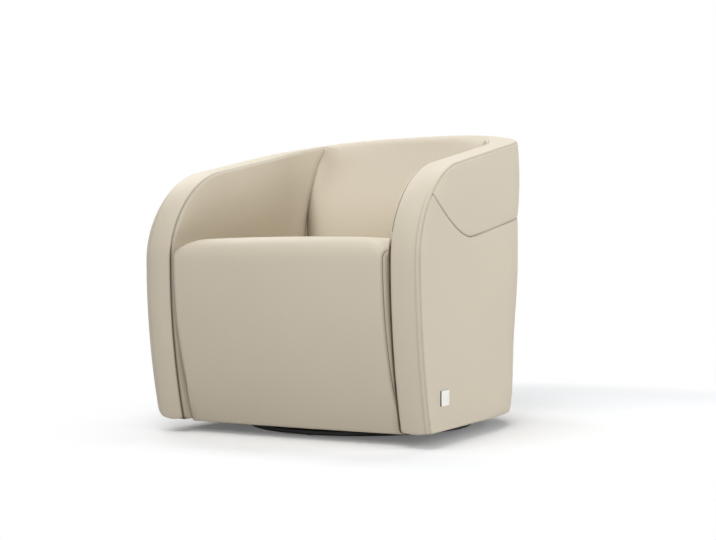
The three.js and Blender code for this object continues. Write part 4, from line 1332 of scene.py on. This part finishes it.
def seat_stitch_lines(plan):
    """Lines beside the seat's side seams, on the front and over the rounded edge."""
    p = plan.pads
    lines = [[], []]
    for kind, share in plan.stations:
        if kind == "top":
            continue
        outside, _, away, front = plan.row(kind, share)
        above = outside[1] - p.seat_hem
        if above < p.hem_width:
            continue
        wide, deep, seam = plan.edge_sizes(front, above)
        x = plan.half - wide * (1 - math.sin(seam)) - p.seat_stitch
        turned = math.asin(clamp(1 - (plan.half - x) / wide))
        drop = deep * (1 - math.cos(turned)) + p.seat_bow * (x / plan.half) ** 2
        for line, side in zip(lines, (-1, 1)):
            line.append((side * x, outside[0] - away[0] * drop, outside[1] - away[1] * drop))
    return lines


def sewn(name, lines, thread, sewing, seed):
    """One mesh with the stitches along some lines."""
    points = [point for line in lines for point in line]
    edges, start = [], 0
    for line in lines:
        edges += [(start + index, start + index + 1) for index in range(len(line) - 1)]
        start += len(line)
    piece = new_piece(name, points, edges, [])
    tree = shared_group("thread stitches", stitch_group)
    stitches = piece.modifiers.new("Stitches", "NODES")
    stitches.node_group = tree
    chosen = {
        "Pitch": sewing.pitch,
        "Length": sewing.length,
        "Width": sewing.width,
        "Tilt": sewing.tilt,
        "Seed": seed,
        "Thread": thread,
    }
    for socket in tree.interface.items_tree:
        if socket.in_out == "INPUT" and socket.name in chosen:
            stitches[socket.identifier] = chosen[socket.name]
    plain_mesh(piece)
    shade_smooth(piece.data)
    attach(piece, "chair")
    return piece


def plain_mesh(piece):
    """Applies the piece's modifiers, so that a plain mesh is left."""
    evaluated = piece.evaluated_get(bpy.context.evaluated_depsgraph_get())
    mesh = bpy.data.meshes.new_from_object(evaluated)
    old = piece.data
    piece.modifiers.clear()
    piece.data = mesh
    mesh.name = old.name
    bpy.data.meshes.remove(old)
    return piece


def thickened(piece, thickness):
    """A leather skin with its thickness to the inside."""
    shell = piece.modifiers.new("Thickness", "SOLIDIFY")
    shell.thickness = thickness
    shell.offset = -1
    return plain_mesh(piece)


# Fill handed to finished for the padded pieces, from 0, slack, to 1, tight.
PADDED = 0.9


def finished(piece, *nodes, fill=None):
    """Ties a leather piece to the chair and hides the CAD nodes that it stands for."""
    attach(piece, "chair")
    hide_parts(*nodes)
    return piece


class LookSizes(bpy.types.PropertyGroup):
    """Colours and finish of the leather and its thread."""

    leather_colour: tint("Leather", "Colour of the leather", (0.62, 0.555, 0.445))
    leather_variation: amount("Variation", "Unevenness of the leather's tone", 0.05)
    # The seam colour is also the colour of painted shade in the creases and in the gaps beside the seat.
    seam_and_shade_colour: tint("Seam", "Colour of the leather deep in a seam", (0.11, 0.075, 0.045))
    seam_and_shade_strength: amount("Seam strength", "How dark a seam's line is", 0.95)
    pore_scale: amount("Pores", "Fineness of the leather's grain", 650.0)
    pore_height: length("Pore height", "Height of the leather's grain", 0.00006)
    sheen_low: amount("Sheen", "Roughness where the leather shines most", 0.44)
    sheen_high: amount("Matt", "Roughness where the leather shines least", 0.58)
    thread_colour: tint("Thread", "Colour of the thread", (0.50, 0.44, 0.345))


class SewingSizes(bpy.types.PropertyGroup):
    """Sizes of the stitches."""

    pitch: length("Pitch", "Distance from stitch to stitch", 0.0052)
    length: length("Stitch length", "Length of a stitch", 0.0038)
    width: length("Stitch width", "Thickness of the thread", 0.0009)
    tilt: angle("Tilt", "How far a stitch may lean", 0.08)
    seed: IntProperty(name="Seed", description="Start of the stitches' unevenness", default=7, min=0)


def worked_out():
    """The sizes, and the shell and rim worked out from them, for the operators."""
    scene = bpy.context.scene
    shell = Shell(scene.chair_shell)
    return shell, scene.chair_pads, Rim(shell, scene.chair_pads)


def material_named(name, make, *arguments):
    return bpy.data.materials.get(name) or make(*arguments)


def leather():
    return material_named("smooth pale leather", leather_material, bpy.context.scene.chair_looks)


class CHAIR_OT_band(bpy.types.Operator):
    """Makes the rim band and the inside back as one leather"""

    bl_idname = "chair.band"
    bl_label = "Rim band and inside back"

    def execute(self, context):
        shell, pads, rim = worked_out()
        piece = thickened(leather_band(shell, pads, rim, leather()), shell.sizes.leather)
        finished(piece, "rim_band", "inside_back", fill=PADDED)
        return {"FINISHED"}


class CHAIR_OT_outer(bpy.types.Operator):
    """Makes the outer leather below and above the side seam"""

    bl_idname = "chair.outer"
    bl_label = "Outer leather"

    def execute(self, context):
        shell, _, rim = worked_out()
        wrap = thickened(outer_wrap(shell, rim, leather()), shell.sizes.leather)
        finished(wrap, "outer_wrap")
        panel = thickened(upper_panel(shell, rim, leather()), shell.sizes.leather)
        finished(panel, "upper_outer_panel", fill=PADDED)
        return {"FINISHED"}


class CHAIR_OT_arms(bpy.types.Operator):
    """Makes the padded leather inside each arm"""

    bl_idname = "chair.arms"
    bl_label = "Inner arms"

    def execute(self, context):
        shell, pads, rim = worked_out()
        for side, node in ((-1, "inner_arm_left"), (1, "inner_arm_right")):
            piece = thickened(inner_arm(shell, pads, rim, side, leather()), shell.sizes.leather)
            finished(piece, node, fill=PADDED)
        return {"FINISHED"}


class CHAIR_OT_seat(bpy.types.Operator):
    """Makes the waterfall seat cushion"""

    bl_idname = "chair.seat"
    bl_label = "Seat"

    def execute(self, context):
        shell, pads, _ = worked_out()
        finished(seat_cushion(shell, pads, leather()), "seat_cover", "seat_foam", fill=PADDED)
        return {"FINISHED"}


class CHAIR_OT_stitches(bpy.types.Operator):
    """Sews the topstitching on the arms and beside the seat's side seams"""

    bl_idname = "chair.stitches"
    bl_label = "Stitches"

    def execute(self, context):
        shell, pads, rim = worked_out()
        sewing = context.scene.chair_sewing
        thread = material_named("leather thread", thread_material, context.scene.chair_looks)
        sewn("arm_stitches", topstitch_lines(shell, rim), thread, sewing, sewing.seed)
        sewn("seat_stitches", seat_stitch_lines(SeatPlan(shell, pads)), thread, sewing, sewing.seed + 1)
        return {"FINISHED"}


FINISHES = {
    "timber": ("planed timber", timber_material),
    "webbing": ("elastic webbing", webbing_material),
    "black_base": ("satin black paint", painted_material),
    "steel": ("zinc-plated steel", steel_material),
    "glide_plastic": ("moulded black plastic", plastic_material),
    "lining": ("black dust cloth", lining_material),
    "bare_plate": ("pale brushed plate", plate_material),
    "foam": ("cut foam", foam_material),
}


class CHAIR_OT_finishes(bpy.types.Operator):
    """Gives every CAD node that shows the finish of its material slot"""

    bl_idname = "chair.finishes"
    bl_label = "Finishes of the frame and swivel"

    def execute(self, context):
        for part in frame["record"]["subparts"]:
            materials = frame["nodes"][part["node"]].data.materials
            materials.clear()
            if part["material_slot"] == "leather":
                materials.append(leather())
            else:
                materials.append(material_named(*FINISHES[part["material_slot"]]))
        return {"FINISHED"}


class CHAIR_OT_stage(bpy.types.Operator):
    """Sets the camera, the floor, the lights and the white surroundings"""

    bl_idname = "chair.stage"
    bl_label = "Camera, floor and light"

    def execute(self, context):
        stage = context.scene.chair_stage
        camera = bpy.data.cameras.new("photo camera")
        camera.lens = stage.lens
        camera.sensor_width = stage.sensor
        holder = bpy.data.objects.new("photo camera", camera)
        holder.location = stage.camera_place
        holder.rotation_euler = (math.pi / 2, 0, stage.camera_turn)
        context.scene.collection.objects.link(holder)
        context.scene.camera = holder
        context.scene.view_settings.view_transform = "Standard"
        studio_floor(stage)
        for name in LAMPS:
            spot, wide, watts = (getattr(stage, f"{name}_{size}") for size in ("place", "width", "power"))
            studio_light(f"{name} light", spot, wide, watts, stage.aim)
        white_surroundings(context.scene, stage)
        return {"FINISHED"}


# Each lamp's name: what it is, its place, its side and its power.
LAMPS = {
    "top": ("light above the seat", (0.0, -1.2, 2.6), 1.5, 30.0),
    "rear": ("light above the back", (0.0, 0.9, 2.5), 1.5, 20.0),
    "left": ("light above on the left", (-1.8, 0.8, 2.4), 1.2, 20.0),
    "side": ("low light on the right", (2.6, 0.6, 0.8), 1.5, 33.0),
    "front": ("light beside the camera", (1.6, -3.6, 1.6), 2.0, 62.0),
}


class StageSizes(bpy.types.PropertyGroup):
    """Camera, floor and light."""

    lens: number("Lens", "Focal length in millimetres", 64.55, unit="CAMERA")
    sensor: number("Sensor", "Sensor width in millimetres", 36.0, unit="CAMERA")
    camera_place: position("Camera place", "Where the camera stands", (1.474, -2.762, 0.374))
    camera_turn: angle("Camera turn", "How far the camera is turned", math.radians(28.21))
    floor_size: length("Floor", "Side of the floor", 60.0)
    aim: position("Aim", "Point of the chair at which the lights look", (0.0, 0.0, 0.35))
    surroundings: amount("Surroundings", "Strength of the white surroundings' light", 0.05)
    shadow_centre: position("Shadow centre", "Middle of the part that shows the shadow", (0.25, 0.25, 0.0))
    shadow_reach: length("Shadow reach", "Distance from there at which the floor starts to turn white", 0.75)
    shadow_end: length("Shadow end", "Distance from there at which the floor is plain white", 1.15)
    shadow_lift: amount("Shadow lift", "Share of plain white that the camera sees in the shadow", 0.12)
    floor_tone: amount("Floor tone", "How pale the floor is", 0.8)
    floor_seen: tint("Floor seen", "Colour in which the camera sees the floor", (1.075, 1.09, 1.11))


def lamp_sizes():
    """Place, width and power of each lamp, as more of the stage's sizes."""
    for name, (what, spot, wide, watts) in LAMPS.items():
        label = name.capitalize()
        yield f"{name}_place", position(f"{label} light", f"Where the {what} stands", spot)
        yield f"{name}_width", length(f"{label} width", f"Side of the {what}", wide)
        yield f"{name}_power", power(f"{label} power", f"Power of the {what}", watts)


StageSizes.__annotations__.update(lamp_sizes())


def studio_light(name, spot, wide, watts, aim):
    """A square soft light that looks at a point."""
    light = bpy.data.lights.new(name, "AREA")
    light.size = wide
    light.energy = watts
    holder = bpy.data.objects.new(name, light)
    holder.location = spot
    holder.rotation_euler = (Vector(aim) - Vector(spot)).to_track_quat("-Z", "Y").to_euler()
    bpy.context.scene.collection.objects.link(holder)


def studio_floor(stage):
    """A plain pale floor that shows the chair's shadow near it and is plain white further off."""
    half = stage.floor_size / 2
    corners = [(-half, -half, 0), (half, -half, 0), (half, half, 0), (-half, half, 0)]
    material, nodes, place = placed_material("pale floor")
    path = nodes.add("ShaderNodeLightPath")
    pale = nodes.add("ShaderNodeBsdfDiffuse", {"Color": grey(stage.floor_tone)}).outputs[0]
    paler = nodes.add("ShaderNodeBsdfDiffuse", {"Color": (*stage.floor_seen, 1)}).outputs[0]
    distance = nodes.add(
        "ShaderNodeVectorMath", {0: place, 1: stage.shadow_centre}, operation="DISTANCE"
    ).outputs["Value"]
    fade = {
        "Value": distance,
        "From Min": stage.shadow_reach,
        "From Max": stage.shadow_end,
        "To Min": stage.shadow_lift,
    }
    far = nodes.add("ShaderNodeMapRange", fade, interpolation_type="SMOOTHSTEP").outputs[0]
    white = nodes.add("ShaderNodeEmission", {"Color": WHITE, "Strength": 1.0}).outputs[0]
    shown = nodes.add("ShaderNodeMixShader", {0: far, 1: paler, 2: white}).outputs[0]
    seen = nodes.add("ShaderNodeMixShader", {0: path.outputs["Is Camera Ray"], 1: pale, 2: shown})
    nodes.add("ShaderNodeOutputMaterial", {"Surface": seen.outputs[0]})
    return mesh_piece("floor", corners, [(0, 1, 2, 3)], material)


def white_surroundings(scene, stage):
    """A world that is white where the camera, gloss or glass sees it, and lights the chair gently."""
    world = bpy.data.worlds.new("white studio")
    world.use_nodes = True
    world.node_tree.nodes.clear()
    nodes = NodeWriter(world.node_tree)
    path = nodes.add("ShaderNodeLightPath")
    seen = nodes.math("MAXIMUM", {0: path.outputs["Is Camera Ray"], 1: path.outputs["Is Glossy Ray"]})
    through = nodes.math("MAXIMUM", {0: seen, 1: path.outputs["Is Transmission Ray"]})
    limits = {"Value": through, "To Min": stage.surroundings, "To Max": 1.0}
    strength = nodes.add("ShaderNodeMapRange", limits).outputs["Result"]
    light = nodes.add("ShaderNodeBackground", {"Color": WHITE, "Strength": strength})
    nodes.add("ShaderNodeOutputWorld", {"Surface": light.outputs[0]})
    scene.world = world


class CHAIR_PT_build(bpy.types.Panel):
    """Lists the pieces that can be made"""

    bl_idname = "CHAIR_PT_build"
    bl_label = "Swivel club chair"
    bl_space_type = "VIEW_3D"
    bl_region_type = "UI"
    bl_category = "Chair"

    def draw(self, context):
        for operator in OPERATORS:
            self.layout.operator(operator.bl_idname)
        for group in GROUPS:
            box = self.layout.box()
            settings = getattr(context.scene, group)
            for name in settings.bl_rna.properties.keys():
                if name not in ("rna_type", "name"):
                    box.prop(settings, name)


GROUPS = {
    "chair_shell": ShellSizes,
    "chair_pads": PadSizes,
    "chair_looks": LookSizes,
    "chair_sewing": SewingSizes,
    "chair_stage": StageSizes,
}
OPERATORS = (
    CHAIR_OT_band,
    CHAIR_OT_outer,
    CHAIR_OT_arms,
    CHAIR_OT_seat,
    CHAIR_OT_stitches,
    CHAIR_OT_finishes,
    CHAIR_OT_stage,
)


def register():
    for group in GROUPS.values():
        bpy.utils.register_class(group)
    for name, group in GROUPS.items():
        setattr(bpy.types.Scene, name, PointerProperty(type=group))
    for operator in OPERATORS:
        bpy.utils.register_class(operator)
    bpy.utils.register_class(CHAIR_PT_build)


def unregister():
    bpy.utils.unregister_class(CHAIR_PT_build)
    for operator in reversed(OPERATORS):
        bpy.utils.unregister_class(operator)
    for name, group in GROUPS.items():
        delattr(bpy.types.Scene, name)
        bpy.utils.unregister_class(group)


def main():
    register()
    for operator in OPERATORS:
        name = operator.bl_idname.split(".")[1]
        getattr(bpy.ops.chair, name)()


if __name__ == "__main__":
    main()
